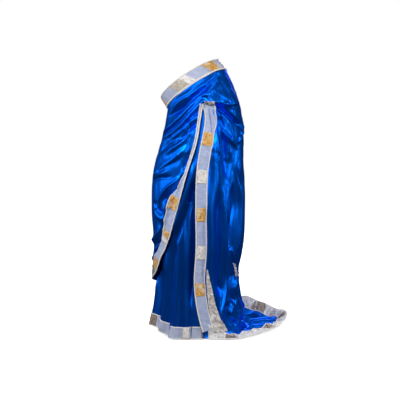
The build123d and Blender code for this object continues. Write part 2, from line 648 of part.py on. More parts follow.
pin_middle = wrap_tangent(*PIN_PLACE, PIN_DEPTH)
coil_plane = Plane(origin=pin_middle.from_local_coords((PIN_LENGTH / 2, 0, 0)), x_dir=pin_middle.x_dir,
                   z_dir=pin_middle.z_dir)
print("needle axis through", coil_plane.origin, "along", coil_plane.z_dir)


def pin_wire(level, drop, length):
    """Adds a turn of the coil and the straight wire that leaves it, run on into the turn."""
    with Locations(coil_plane.offset(level).location):
        Torus(PIN_COIL, PIN_WIRE)
    middle = coil_plane.from_local_coords(((PIN_WIRE - length) / 2, drop, level))
    with Locations(Plane(origin=middle, x_dir=coil_plane.x_dir, z_dir=coil_plane.z_dir).location):
        Cylinder(PIN_WIRE - NEEDLE_SLACK, length + PIN_WIRE, rotation=(0, 90, 0))


with BuildPart() as pin_frame:
    pin_wire(-PIN_STACK, PIN_COIL, PIN_LENGTH)
write(pin_frame.part, "pin_frame")

with BuildPart() as pin_needle:
    pin_wire(PIN_STACK, -PIN_COIL, PIN_LENGTH - 2)
write(pin_needle.part, "pin_needle")

cap_high = PIN_STACK + PIN_WIRE + PIN_CLEAR
cap_side = PIN_COIL + PIN_WIRE + PIN_CLEAR
with BuildPart() as pin_cap:
    with BuildSketch(coil_plane.offset(-cap_high - CAP_WALL)):
        with Locations((CAP_LENGTH / 2 - PIN_LENGTH - CAP_WALL, 0)):
            Rectangle(CAP_LENGTH, 2 * (cap_side + CAP_WALL))
            fillet(vertices().group_by(Axis.X)[0], CAP_CORNER)
    extrude(amount=2 * (cap_high + CAP_WALL))
    with BuildSketch(coil_plane.offset(-cap_high)):
        with Locations((CAP_LENGTH / 2 - PIN_LENGTH, -CAP_WALL)):
            Rectangle(CAP_LENGTH, 2 * cap_side + 2 * CAP_WALL)
    extrude(amount=2 * cap_high, mode=Mode.SUBTRACT)
write(pin_cap.part, "pin_cap")


# ---------------------------------------------------------------------------------------------------------
# Train
# ---------------------------------------------------------------------------------------------------------
def train_layer(low, high):
    """Adds a sheet that follows the train's profile, between two heights over its underside."""
    with BuildSketch(Plane.XZ) as profile:
        with BuildLine():
            under = Spline(*[(x, z + low) for x, z in TRAIN_PROFILE])
            over = Spline(*[(x, z + high) for x, z in TRAIN_PROFILE])
            Line(under @ 0, over @ 0)
            Line(under @ 1, over @ 1)
        make_face()
    extrude(profile.sketch.face(), amount=REACH, both=True)


def keep_ground(start, end):
    """Keeps what lies between two distances inside the train's outline."""
    with BuildSketch() as ground:
        with BuildLine():
            outside = Spline(*beside(TRAIN_OUTLINE, -start))
            inside = Spline(*beside(TRAIN_OUTLINE, -end))
            Line(outside @ 0, inside @ 0)
            Line(outside @ 1, inside @ 1)
        make_face()
    extrude(ground.sketch.face(), amount=REACH, both=True, mode=Mode.INTERSECT)


def keep_outline():
    """Keeps what lies inside the train's outline."""
    with BuildSketch() as ground:
        with BuildLine():
            outside = Spline(*TRAIN_OUTLINE)
            Line(outside @ 1, outside @ 0)
        make_face()
    extrude(ground.sketch.face(), amount=REACH, both=True, mode=Mode.INTERSECT)


def keep_root():
    """Keeps what lies under the hem, between the skirt and the fold line."""
    split(bisect_by=Plane.YZ.offset(FOLD_LINE - TRAIN_GAP / 2), keep=Keep.BOTTOM)
    add(skirt_foot.part, mode=Mode.SUBTRACT)


def keep_trailing():
    """Keeps what lies behind the fold line."""
    split(bisect_by=Plane.YZ.offset(FOLD_LINE + TRAIN_GAP / 2), keep=Keep.TOP)


foot_z, foot_front, foot_back, foot_deep = WRAP[-1]
with BuildPart() as skirt_foot:
    with BuildSketch(Plane.XY.offset(BELOW_FLOOR)):
        with Locations(((foot_front + foot_back) / 2, BODY_Y)):
            Ellipse((foot_back - foot_front) / 2, foot_deep)
    extrude(amount=-2 * BELOW_FLOOR)
    with BuildSketch(Plane.XY.offset(BELOW_FLOOR)):
        with Locations((-REACH / 2 - ROOT_START, 0)):
            Rectangle(REACH, 2 * REACH)
    extrude(amount=-2 * BELOW_FLOOR)

border_low = TRAIN_THICK + SEWN_GAP
for name, keep_stretch in (("train_root", keep_root), ("train", keep_trailing)):
    with BuildPart() as sheet:
        train_layer(0, TRAIN_THICK)
        keep_outline()
        keep_stretch()
    write(sheet.part, name)

    with BuildPart() as border:
        train_layer(border_low, border_low + BORDER_THICK)
        keep_ground(PIPING_WIDTH, BORDER_WIDTH - PIPING_WIDTH)
        keep_stretch()
    write(border.part, f"{name}_border")

    with BuildPart() as piping:
        train_layer(border_low, border_low + PIPING_THICK)
        keep_ground(0, PIPING_WIDTH)
        keep_stretch()
    write(piping.part, f"{name}_edge_piping")

with BuildPart() as train_inner_piping:
    train_layer(border_low, border_low + PIPING_THICK)
    keep_ground(BORDER_WIDTH - PIPING_WIDTH, BORDER_WIDTH)
    keep_trailing()
write(train_inner_piping.part, "train_inner_piping")

with BuildPart() as train_patches:
    train_layer(border_low + BORDER_THICK + PATCH_GAP, border_low + BORDER_THICK + PATCH_GAP + PATCH_THICK)
    train_run = [TRAIN_FIRST_PATCH + PATCH_PITCH * i for i in range(TRAIN_PATCHES)]
    extrude(patch_faces(Plane.XY, TRAIN_OUTLINE, -BORDER_WIDTH / 2, train_run), amount=REACH,
            mode=Mode.INTERSECT)
    keep_trailing()
write(train_patches.part, "train_patches")

top_corner, low_corner, near_corner = (Vector(corner) for corner in FOLD_CORNERS)
fold_plane = Plane(origin=top_corner, x_dir=low_corner - top_corner,
                   z_dir=(low_corner - top_corner).cross(near_corner - top_corner))
with BuildPart() as train_fold:
    with BuildSketch(fold_plane):
        with BuildLine():
            Polyline(*[tuple(fold_plane.to_local_coords(c))[:2] for c in (top_corner, low_corner,
                                                                          near_corner)],
                     close=True)
        make_face()
    extrude(amount=FOLD_THICK)
write(train_fold.part, "train_fold")
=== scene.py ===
"""Blue satin draped skirt with a brocade border: cloth, trims, fastenings' finishes, light and camera.

Metres, in the CAD's frame. A place on the body is an angle and a height: 0 degrees is the wearer's
front (-X), 90 the draped hip (-Y), 180 the back (+X) and 270 the far hip.
"""
import json
import math

import bmesh
import bpy
import numpy as np
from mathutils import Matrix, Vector


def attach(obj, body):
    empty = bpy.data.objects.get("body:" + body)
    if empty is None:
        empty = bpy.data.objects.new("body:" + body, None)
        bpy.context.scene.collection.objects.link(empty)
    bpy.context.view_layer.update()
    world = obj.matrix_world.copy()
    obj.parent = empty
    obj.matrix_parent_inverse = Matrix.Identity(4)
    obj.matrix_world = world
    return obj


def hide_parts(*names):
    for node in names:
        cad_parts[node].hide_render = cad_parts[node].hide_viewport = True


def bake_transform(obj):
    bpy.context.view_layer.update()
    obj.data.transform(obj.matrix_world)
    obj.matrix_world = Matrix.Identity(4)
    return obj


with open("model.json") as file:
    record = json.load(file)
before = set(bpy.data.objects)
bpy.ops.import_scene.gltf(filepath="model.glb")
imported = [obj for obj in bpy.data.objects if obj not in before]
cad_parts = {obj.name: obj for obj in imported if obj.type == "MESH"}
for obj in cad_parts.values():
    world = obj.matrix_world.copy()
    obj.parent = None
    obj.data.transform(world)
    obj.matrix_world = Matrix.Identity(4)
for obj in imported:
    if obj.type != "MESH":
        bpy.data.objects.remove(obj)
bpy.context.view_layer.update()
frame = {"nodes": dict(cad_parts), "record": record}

# ---- Sizes ----
MM = 0.001
BODY_Y = -0.020
ARC = 0.0032  # metres round the body per degree, on average
CLOTH = 0.0009  # thickness of the satin
TRIM = 0.0006
MID_CLOTH = 0.0008  # the cloth's middle lies this far out from the CAD wrap's inner face
BORDER = 0.050
CASCADE = 0.044
PIPING = 0.005
PATCH = 0.053
PATCH_PITCH = 0.148
CASCADE_FIRST, CASCADE_PITCH = 0.140, 0.154
PATCH_MARGIN = 0.0032
GATHER_Z = 0.951
GATHER_ANGLE = 88.0
ZIP_X = -0.084
ZIP_SLOT = 0.015

# Sections of the smooth body under the wrap: height, front (-X), back (+X), half depth
WRAP = np.array([
    (1.180, -0.222, -0.008, 0.115), (1.040, -0.216, 0.048, 0.136), (0.930, -0.218, 0.084, 0.158),
    (0.820, -0.239, 0.095, 0.179), (0.680, -0.276, 0.097, 0.191), (0.520, -0.286, 0.098, 0.194),
    (0.380, -0.279, 0.095, 0.190), (0.240, -0.284, 0.080, 0.185), (0.120, -0.290, 0.094, 0.188),
    (0.000, -0.300, 0.108, 0.192)])
UNDER = WRAP + np.array([0.0, 0.011, -0.011, -0.011])
UNDER[7:, 1:] = [(-0.266, 0.066, 0.174), (-0.279, 0.070, 0.179), (-0.302, 0.076, 0.186)]
PETTICOAT = UNDER + np.array([0.0, 0.005, -0.005, -0.005])

# The wrap's two free edges below the gather, (angle, height), each from the gather to the floor
FRONT_EDGE = [(88, 0.951), (85.5, 0.915), (82.5, 0.808), (74, 0.649), (60.5, 0.487), (38, 0.332), (7, 0.224),
              (-42, 0.174), (-86, 0.072), (-116, 0.0)]
CASCADE_EDGE = [(88, 0.951), (90, 0.925), (88, 0.77), (88, 0.57), (88, 0.325), (91, 0.12), (99, 0.0)]

# The train's rim: angle at the foot of the skirt, x, y, height
RIM = np.array([
    (99, -0.056, -0.214, 0.002), (110, -0.006, -0.220, 0.002), (125, 0.062, -0.218, 0.003),
    (140, 0.128, -0.178, 0.005), (155, 0.204, -0.108, 0.010), (168, 0.262, -0.030, 0.018),
    (180, 0.290, 0.040, 0.028), (192, 0.296, 0.112, 0.036), (203, 0.262, 0.172, 0.036),
    (214, 0.190, 0.188, 0.060), (224, 0.118, 0.180, 0.094), (234, 0.050, 0.178, 0.060),
    (244, -0.012, 0.176, 0.012)])
FOOT_BEND = 0.026  # radius where the cloth turns from the body on to the floor
RIM_PATCHES = (0.10, 0.33, 0.52, 0.70)  # along the rim from the cascade
RIM_CURL = 0.055  # how far in from the rim it lifts

EDGE_POINTS, RIM_POINTS = 420, 460  # along an edge, where its border is laid out
EDGE_REACH, RIM_REACH = 0.056, 0.060  # how far in from the edge that goes


# ---- Curves and the body ----
def smooth(x, xs, ys):
    """Smooth values at x through the points (xs, ys), xs either way round."""
    order = np.argsort(xs)
    xs, ys = np.asarray(xs, float)[order], np.asarray(ys, float)[order]
    slope = np.gradient(ys, xs)
    i = np.clip(np.searchsorted(xs, x) - 1, 0, len(xs) - 2)
    step = xs[i + 1] - xs[i]
    s = np.clip((x - xs[i]) / step, 0, 1)
    return ((1 + 2 * s) * (1 - s) ** 2 * ys[i] + s * (1 - s) ** 2 * step * slope[i]
            + s * s * (3 - 2 * s) * ys[i + 1] + s * s * (s - 1) * step * slope[i + 1])


def ramp(x, low, high):
    """0 below low, 1 above high, smooth between; high may be under low."""
    s = np.clip((x - low) / (high - low), 0, 1)
    return s * s * (3 - 2 * s)


def unit(vectors):
    """The vectors at length 1; one without length stays so."""
    return vectors / np.maximum(np.linalg.norm(vectors, axis=-1, keepdims=True), 1e-9)


def run_along(points):
    """Distance along a line of points, from its start."""
    return np.r_[0, np.cumsum(np.linalg.norm(np.diff(points, axis=0), axis=1))]


def counted_from(low, angle):
    """The same angles, as numbers from low up to a whole turn over it."""
    return np.mod(angle - low, 360) + low


def body(sections, angle, z, out):
    """Points on the body, pushed out by out."""
    front, back, deep = (smooth(z, sections[:, 0], sections[:, k]) for k in (1, 2, 3))
    half = (back - front) / 2
    turn = np.radians(angle)
    c, s = np.cos(turn), np.sin(turn)
    size = np.hypot(deep * c, half * s)
    return np.stack([(front + back) / 2 - half * c - out * deep * c / size,
                     BODY_Y - deep * s - out * half * s / size, z + 0 * angle], -1)


waist = next(m for m in frame["record"]["mounts"] if m["name"] == "waist_opening")
WAIST = np.array(waist["pos_m"])
WAIST_N = np.array(waist["axis"]) / np.linalg.norm(waist["axis"])
WAIST_V = np.cross(WAIST_N, (1, 0, 0))
WAIST_V /= np.linalg.norm(WAIST_V)
WAIST_U = np.cross(WAIST_V, WAIST_N)
WAIST_HALF_U, WAIST_HALF_V = 0.143, 0.140


def seam_height(sections, angle):
    """Height at which the waist plane cuts the body."""
    z = np.full(np.shape(angle), WAIST[2])
    for _ in range(12):
        p = body(sections, angle, z, 0.0)
        z = WAIST[2] - ((p[..., :2] - WAIST[:2]) @ WAIST_N[:2]) / WAIST_N[2]
    return z


# ---- Folds: ridges and valleys drawn on the body as curves of (angle, height) ----
def drawn(points, count=30):
    """A smooth curve through points, as (metres round, height)."""
    p = np.array(points, float)
    p[:, 0] *= ARC
    if len(p) < 3:
        t = np.linspace(0, 1, count)[:, None]
        return p[0] * (1 - t) + p[-1] * t
    run = run_along(p)
    at = np.linspace(0, run[-1], count)
    return np.stack([smooth(at, run, p[:, 0]), smooth(at, run, p[:, 1])], -1)


def near_curve(angle, z, path, reach):
    """Indices of the points near a path, their signed distance from it, and how far along it they are,
    0 to 1."""
    where = np.stack([angle * ARC, z], -1)
    low, high = path.min(0) - reach, path.max(0) + reach
    picked = np.nonzero(np.all((where >= low) & (where <= high), -1))[0]
    w = where[picked][:, None]
    start, run = path[:-1][None], np.diff(path, axis=0)[None]
    t = np.clip(((w - start) * run).sum(-1) / (run ** 2).sum(-1), 0, 1)
    gap = w - start - run * t[..., None]
    distance = np.linalg.norm(gap, axis=-1)
    best = distance.argmin(1)
    rows = np.arange(len(picked))
    side = run[0, best, 0] * gap[rows, best, 1] - run[0, best, 1] * gap[rows, best, 0]
    share = (best + t[rows, best]) / (len(path) - 1)
    return picked, np.sign(side) * distance[rows, best], share


def in_metres(*rows):
    """Folds from rows of height, width, start, end, and then the curve's angles and heights in turn. Lengths
    in the rows are in millimetres; start and end are how much of the curve fades in and out."""
    return [(height * MM, width * MM, start, end, [(a, z * MM) for a, z in zip(path[::2], path[1::2])])
            for height, width, start, end, *path in rows]


def fold_field(angle, z, folds):
    """Height of the folds over the smooth body. A fold is (height, width, start, end, points)."""
    shape = np.shape(angle)
    angle, z = np.ravel(angle), np.ravel(z)
    field = np.zeros(len(angle))
    for height, width, start, end, points in folds:
        picked, distance, share = near_curve(angle, z, drawn(points), 3 * width)
        fade = ramp(share, 0, start) * ramp(share, 1, 1 - end)
        field[picked] += height * fade * np.exp(-np.abs(distance / width) ** 1.7)
    return field.reshape(shape)


def ledge(angle, z, points, height, above, below):
    """A fold that overhangs: out by height over the line, dying away above it, and steep under it."""
    shape = np.shape(angle)
    angle, z = np.ravel(angle), np.ravel(z)
    field = np.zeros(len(angle))
    picked, distance, share = near_curve(angle, z, drawn(points), above * 2.2)
    over = np.where(distance > 0, np.exp(-(distance / above) ** 2), np.exp(-(distance / below) ** 2))
    field[picked] = height * over * ramp(share, 0, 0.16) * ramp(share, 1, 0.60)
    return field.reshape(shape)


def noise(a, b, scale_a, scale_b, seed):
    """Smooth seeded noise, -1 to 1, over two coordinates."""
    size = 64
    table = np.random.default_rng(seed).uniform(-1, 1, (size, size))
    x, y = a / scale_a, b / scale_b
    i, j = np.floor(x).astype(int), np.floor(y).astype(int)
    s, t = ramp(x - i, 0, 1), ramp(y - j, 0, 1)
    i0, i1, j0, j1 = i % size, (i + 1) % size, j % size, (j + 1) % size
    top = table[i0, j0] * (1 - s) + table[i1, j0] * s
    low = table[i0, j1] * (1 - s) + table[i1, j1] * s
    return top * (1 - t) + low * t


HIP_FOLDS = in_metres(
    (8, 10, 0.1, 0.3, 129, 1080, 111, 1055, 90, 1025, 70, 990, 50, 965, 36, 935, 22, 905),
    (-11, 10, 0.1, 0.25, 141, 1090, 118, 1053, 95, 1010, 76, 978, 57, 938, 31, 908, 14, 880),
    (-7, 9, 0.2, 0.25, 109, 1055, 85, 1030, 64, 992, 46, 975, 28, 945, 12, 920),
    (5, 8, 0.3, 0.3, 92, 1048, 71, 1022, 54, 1003, 39, 992, 24, 965),
    (10, 14, 0.2, 0.25, 116, 1030, 96, 992, 75, 953, 56, 905, 39, 868, 18, 840, 0, 820),
    (-10, 9, 0.1, 0.25, 100, 983, 86, 972, 76, 950, 66, 925, 55, 895, 42, 862, 27, 838, 0, 800),
    (8, 10, 0.1, 0.3, 94, 962, 86, 956, 76, 930, 64, 893, 55, 866, 42, 838, 22, 812, 0, 780),
    (-7, 7, 0.1, 0.4, 84, 938, 74, 908, 66, 880, 56, 852, 45, 826),
    (6, 7, 0.2, 0.4, 80, 912, 70, 880, 60, 852, 48, 822, 30, 792),
    (-12, 8, 0.2, 0.35, 82, 893, 76, 868, 69, 845, 62, 818, 54, 800),
    (9, 12, 0.2, 0.4, 79, 870, 70, 838, 62, 800, 50, 775, 34, 748, 20, 735),
    (-6, 10, 0.3, 0.3, 62, 822, 48, 812, 36, 795, 24, 765, 8, 735),
    (8, 16, 0.3, 0.4, 72, 800, 62, 755, 48, 715, 34, 690, 18, 675),
    (-7, 10, 0.3, 0.3, 70, 760, 58, 722, 44, 700, 30, 672, 12, 650),
    (6, 12, 0.3, 0.3, 30, 1000, 14, 970, -6, 925, -24, 880),
    (-6, 10, 0.3, 0.3, 20, 990, 4, 950, -16, 905, -30, 860))
GATHER_FOLDS = in_metres(
    (12, 8, 0.03, 0.3, 104, 944, 110, 915, 114, 880, 122, 835, 131, 805, 140, 785, 141, 700, 144, 620),
    (9, 7, 0.4, 0.15, 178, 900, 168, 855, 156, 815, 144, 788),
    (7, 6, 0.3, 0.3, 124, 905, 130, 865, 136, 825, 140, 795),
    (-20, 13, 0.05, 0.3, 108, 940, 118, 928, 128, 912, 140, 890, 156, 868, 170, 860),
    (-19, 12, 0.1, 0.3, 112, 910, 118, 870, 121, 820, 125, 760, 127, 700, 128, 640),
    (9, 6, 0.05, 0.4, 101, 940, 104, 900, 107, 850, 110, 790, 115, 730, 119, 690),
    (-7, 5, 0.05, 0.4, 98, 935, 100, 890, 103, 830, 106, 770),
    (6, 9, 0.1, 0.3, 118, 950, 130, 944, 143, 938, 158, 925),
    (-9, 11, 0.3, 0.3, 150, 830, 149, 780, 151, 720, 153, 660),
    (-8, 10, 0.3, 0.3, 132, 760, 133, 720, 131, 660, 134, 600))
PANEL_FOLDS = in_metres(
    (16, 19, 0.1, 0.2, 104, 860, 107, 770, 111, 655, 107, 545, 106, 440, 108, 300, 112, 180, 118, 60),
    (9, 8, 0.2, 0.05, 122, 640, 125, 515, 127, 400, 130, 310, 133, 240, 128, 165, 121, 110, 119, 60),
    (-17, 12, 0.2, 0.1, 117, 620, 116, 540, 116, 440, 118, 325, 120, 230, 124, 170),
    (14, 9, 0.3, 0.2, 141, 720, 145, 660, 149, 600, 152, 550, 151, 475, 149, 420, 148, 360, 146, 300),
    (-15, 11, 0.2, 0.3, 138, 640, 139, 590, 141, 540, 136, 470, 135, 380, 138, 320),
    (7, 6, 0.3, 0.3, 128, 680, 130, 620, 129, 560, 131, 500, 135, 462, 140, 440),
    (-9, 10, 0.3, 0.3, 160, 700, 163, 600, 162, 500, 163, 400, 162, 330),
    (8, 10, 0.3, 0.3, 170, 740, 172, 620, 171, 480, 172, 380, 174, 300),
    (8, 6, 0.1, 0.1, 136, 372, 141, 335, 148, 295, 158, 258, 167, 243),
    (9, 7, 0.1, 0.1, 168, 240, 156, 222, 149, 200, 152, 170, 160, 142, 172, 110, 182, 85),
    (-12, 12, 0.2, 0.2, 150, 270, 144, 235, 141, 195, 143, 160, 149, 128),
    (-8, 12, 0.2, 0.2, 172, 200, 168, 170, 174, 140),
    (8, 7, 0.1, 0.1, 141, 136, 136, 92, 143, 64, 152, 45),
    (-9, 10, 0.2, 0.1, 132, 150, 130, 105, 134, 70, 146, 45),
    (-8, 9, 0.2, 0.1, 156, 120, 154, 85, 160, 55, 170, 40),
    (-8, 10, 0.2, 0.2, 99, 560, 99, 420, 100, 300, 104, 180))
SWAG_FOLDS = in_metres(
    (11, 8, 0.1, 0.15, 72, 700, 66, 655, 60, 636, 51, 616, 43, 588, 38, 558, 41, 533),
    (-11, 10, 0.2, 0.3, 66, 622, 59, 607, 50, 582, 45, 560, 44, 545),
    (8, 7, 0.2, 0.2, 61, 592, 55, 570, 51, 548, 51, 522),
    (7, 10, 0.2, 0.2, 24, 528, 29, 508, 38, 490, 49, 484),
    (-8, 11, 0.2, 0.3, 22, 560, 27, 530, 38, 512, 46, 508),
    (-12, 11, 0.1, 0.1, 76, 780, 71, 700, 66, 640, 58, 566, 50, 497, 39, 430, 23, 355, 10, 300),
    (-7, 10, 0.3, 0.3, 60, 668, 48, 655, 34, 652, 18, 640, 2, 622),
    (7, 13, 0.3, 0.3, 54, 690, 40, 672, 24, 668, 6, 655),
    (8, 12, 0.2, 0.3, 44, 462, 34, 432, 20, 402, 4, 384, -14, 380),
    (-7, 10, 0.2, 0.3, 36, 400, 26, 385, 12, 362, -6, 350),
    (6, 10, 0.2, 0.3, 30, 345, 16, 320, 2, 305, -16, 300))
# The line under which the fold at the gather overhangs, and how far it stands out and dies away
LEDGE = [(84, 0.962), (97, 0.957), (110, 0.956), (126, 0.950), (142, 0.950), (160, 0.953), (176, 0.950)]
LEDGE_OUT, LEDGE_ABOVE, LEDGE_BELOW = 15 * MM, 0.060, 0.004
FOLD_GAIN = 1.1
FRONT_ANGLE = -30  # round the front, angles on the near side are counted from here
HIP_CREASE = (1.2 * MM, 0.016, 0.11, 3)  # height, size across and along, and seed
HIP_SLANT = 0.55  # the creases over the hip run down round it this steeply
CREASES = ((1.1 * MM, 0.016, 0.16, 5), (0.45 * MM, 0.007, 0.06, 7))
CLOSURE_ANGLE, CLOSURE_WIDTH = 270, 9  # where the cloth lies plain along the zip, in degrees
CLOSURE_LOW, CLOSURE_FULL = 0.775, 0.80
SEAM_FADE = 0.045  # the folds fade out this far under the waist seam


def far_folds():
    """Long soft folds that fall down the back and the far side, where the cloth hangs plain."""
    pick = np.random.default_rng(11)
    folds = []
    for k in range(15):
        angle = 182 + 12.2 * k + pick.uniform(-3, 3)
        top, low = pick.uniform(0.72, 1.0), pick.uniform(0.02, 0.22)
        lean, bow = pick.uniform(-7, 7), pick.uniform(-4, 4)
        curve = [(angle + lean * s + bow * math.sin(3.1 * s), top + (low - top) * s)
                 for s in (0, 0.3, 0.65, 1)]
        folds.append(((6 + 5 * (k % 2)) * MM * (-1) ** (k + 1), pick.uniform(0.009, 0.016), 0.35, 0.2, curve))
    for k in range(7):
        angle, top = 205 + 19 * k + pick.uniform(-4, 4), 1.0 - 0.012 * k
        curve = [(angle, top), (angle + 16, top - 0.07), (angle + 30, top - 0.17)]
        folds.append((6 * MM * (-1) ** k, 0.011, 0.3, 0.4, curve))
    return folds


def wrap_out(angle, z):
    """How far the outer wrap stands out from its smooth body."""
    a = counted_from(FRONT_ANGLE, angle)
    across = a * ARC
    field = fold_field(a, z, HIP_FOLDS + GATHER_FOLDS + PANEL_FOLDS + SWAG_FOLDS + far_folds())
    field += ledge(a, z, LEDGE, LEDGE_OUT, LEDGE_ABOVE, LEDGE_BELOW)
    field += HIP_CREASE[0] * noise(across * HIP_SLANT + z, across - z, *HIP_CREASE[1:]) * ramp(z, 0.62, 0.8)
    for height, wide, tall, seed in CREASES:
        field += height * noise(across, z, wide, tall, seed)
    field *= FOLD_GAIN
    seam = ramp(seam_height(WRAP, a) - z, 0.0, SEAM_FADE)
    closure = 1 - (ramp(z, CLOSURE_LOW, CLOSURE_FULL)
                   * np.exp(-((a - CLOSURE_ANGLE) / CLOSURE_WIDTH) ** 4))
    return MID_CLOTH + field * seam * closure


# ---- Sheets as grids ----
class Grid:
    """A sheet of cloth as rows of points, read at fractions across (t) and down (w)."""

    def __init__(self, points):
        self.points = points
        self.normals = unit(np.cross(np.gradient(points, axis=0), np.gradient(points, axis=1)))

    def read(self, values, t, w):
        """Values at fractions of the sheet, between its points in proportion."""
        rows, cols = self.points.shape[:2]
        y, x = np.clip(w, 0, 1) * (rows - 1), np.clip(t, 0, 1) * (cols - 1)
        j, i = np.minimum(y.astype(int), rows - 2), np.minimum(x.astype(int), cols - 2)
        b, a = (y - j)[..., None], (x - i)[..., None]
        return ((values[j, i] * (1 - a) + values[j, i + 1] * a) * (1 - b)
                + (values[j + 1, i] * (1 - a) + values[j + 1, i + 1] * a) * b)

    def at(self, t, w):
        return self.read(self.points, t, w)

    def normal(self, t, w):
        return unit(self.read(self.normals, t, w))


def edge_angles(edge, z):
    """The angle of a free edge at a height; over the gather the two edges meet."""
    path = np.array(edge, float)
    return np.where(z >= GATHER_Z, GATHER_ANGLE, smooth(np.clip(z, 0, GATHER_Z), path[:, 1], path[:, 0]))


WRAP_COLS, WRAP_ROWS, TRAIN_ROWS = 400, 290, 64
# Folds over the train: angle at the foot, its lean by the rim, width in degrees, height in millimetres
TRAIN_FOLDS = ((131, 6, 3.2, 9), (141, 9, 3.0, 12), (152, 5, 2.6, 8), (163, 7, 3.4, 13),
               (176, 3, 3.0, 9), (188, -3, 3.6, 12), (201, -5, 3.2, 9), (214, -2, 3.6, 12))
TRAIN_GAIN = 1.5
TRAIN_CRUMPLE = ((2 * MM, 4.0, 1.6, 21), (1 * MM, 1.7, 0.8, 23))  # height, size round and out, seed
RIPPLE_START = 0.12  # a train shorter than this ripples less


def train_ripple(turn, q, run):
    """Soft folds that run out over the train from the foot of the skirt."""
    height = np.zeros(np.shape(turn))
    for centre, lean, wide, tall in TRAIN_FOLDS:
        height += TRAIN_GAIN * tall * MM * np.exp(-np.abs((turn - centre - lean * q) / wide) ** 2)
    height += sum(high * (1 + noise(turn, q * 10, *sizes)) for high, *sizes in TRAIN_CRUMPLE)
    return height * ramp(q, 0.0, 0.25) * (1 - 0.7 * ramp(q, 0.6, 1.0)) * np.clip(run / RIPPLE_START, 0, 1)


# ---- Meshes ----
def placed(name, data):
    """An object in the scene for a mesh, a light or a camera."""
    piece = bpy.data.objects.new(name, data)
    bpy.context.scene.collection.objects.link(piece)
    return piece


def mesh_object(name, verts, faces, uvs, material):
    """A smooth-shaded mesh piece; uvs, in metres, has one pair for each vertex."""
    mesh = bpy.data.meshes.new(name)
    mesh.from_pydata(verts.tolist(), [], faces)
    layer = mesh.uv_layers.new(name="cloth")
    loops = np.zeros(len(mesh.loops), int)
    mesh.loops.foreach_get("vertex_index", loops)
    layer.data.foreach_set("uv", uvs[loops].ravel())
    mesh.polygons.foreach_set("use_smooth", [True] * len(mesh.polygons))
    mesh.materials.append(material)
    piece = placed(name, mesh)
    return piece


def grid_faces(rows, cols, start=0):
    """Quads of a grid of points, facing out of the body."""
    j, i = np.meshgrid(np.arange(rows - 1), np.arange(cols - 1), indexing="ij")
    a = (start + j * cols + i).ravel()
    return np.stack([a, a + cols, a + cols + 1, a + 1], -1)


def apply_modifiers(piece):
    """Turns the piece's modifiers into mesh."""
    with bpy.context.temp_override(object=piece, active_object=piece, selected_objects=[piece]):
        for modifier in list(piece.modifiers):
            bpy.ops.object.modifier_apply(modifier=modifier.name)


def thicken(piece, thickness):
    """Gives a sheet its thickness, half on each side."""
    solid = piece.modifiers.new("thickness", "SOLIDIFY")
    solid.thickness = thickness
    solid.offset = 0.0
    apply_modifiers(piece)


def sheet_object(name, grid, material, size):
    """A whole grid as a piece, with its cloth coordinates in metres."""
    rows, cols = grid.points.shape[:2]
    v, u = np.meshgrid(np.linspace(0, size[1], rows), np.linspace(0, size[0], cols), indexing="ij")
    return mesh_object(name, grid.points.reshape(-1, 3), grid_faces(rows, cols).tolist(),
                       np.stack([u.ravel(), v.ravel()], -1), material)


FINE_CRINKLE, SLANT_CRINKLE = (0.0045, 0.019), (0.011, 0.013)  # size along and across


def read_track(track, span, inset):
    """The points and normals of a track over a span of its edge, at distances in from the edge, with those
    distances and how far along the edge they lie. The last axis of inset is across."""
    inward, points, normals, run = track
    rows = slice(max(np.searchsorted(run, span[0]) - 1, 0), np.searchsorted(run, span[1], side="right") + 1)
    reach = np.broadcast_to(inset, (len(run), np.shape(inset)[-1]))[rows]
    index = reach / inward[-1] * (len(inward) - 1)
    low = np.clip(index.astype(int), 0, len(inward) - 2)
    share = (index - low)[..., None]
    row = np.arange(len(reach))[:, None]
    where, facing = (values[rows][row, low] * (1 - share) + values[rows][row, low + 1] * share
                     for values in (points, normals))
    return where, facing, reach, run[rows, None] + 0 * reach


def strip(track, span, across, lift, arch=0.0, columns=5, crinkle=0.0, seed=1):
    """Points of a strip on a track: across is the pair of distances in from the edge, the second of which may
    vary along the track; arch rounds its back and crinkle wrinkles it."""
    part = np.linspace(0, 1, columns)
    wide = np.reshape(across[1], (-1, 1))
    where, facing, reach, along = read_track(track, span, across[0] + (wide - across[0]) * part)
    hump = lift + arch * np.sin(math.pi * part) + crinkle * (
        1 + noise(along, reach, *FINE_CRINKLE, seed)
        + 0.7 * noise(along + reach, reach - along, *SLANT_CRINKLE, seed + 1))
    return where + facing * hump[..., None], np.stack([reach, along], -1)


def strips_object(name, parts, material, thickness=TRIM):
    """A piece of one or more strips."""
    verts, faces, uvs, start = [], [], [], 0
    for points, uv in parts:
        rows, cols = points.shape[:2]
        verts.append(points.reshape(-1, 3))
        uvs.append(uv.reshape(-1, 2))
        faces.append(grid_faces(rows, cols, start))
        start += rows * cols
    piece = mesh_object(name, np.concatenate(verts), np.concatenate(faces).tolist(), np.concatenate(uvs),
                        material)
    thicken(piece, thickness)
    return piece


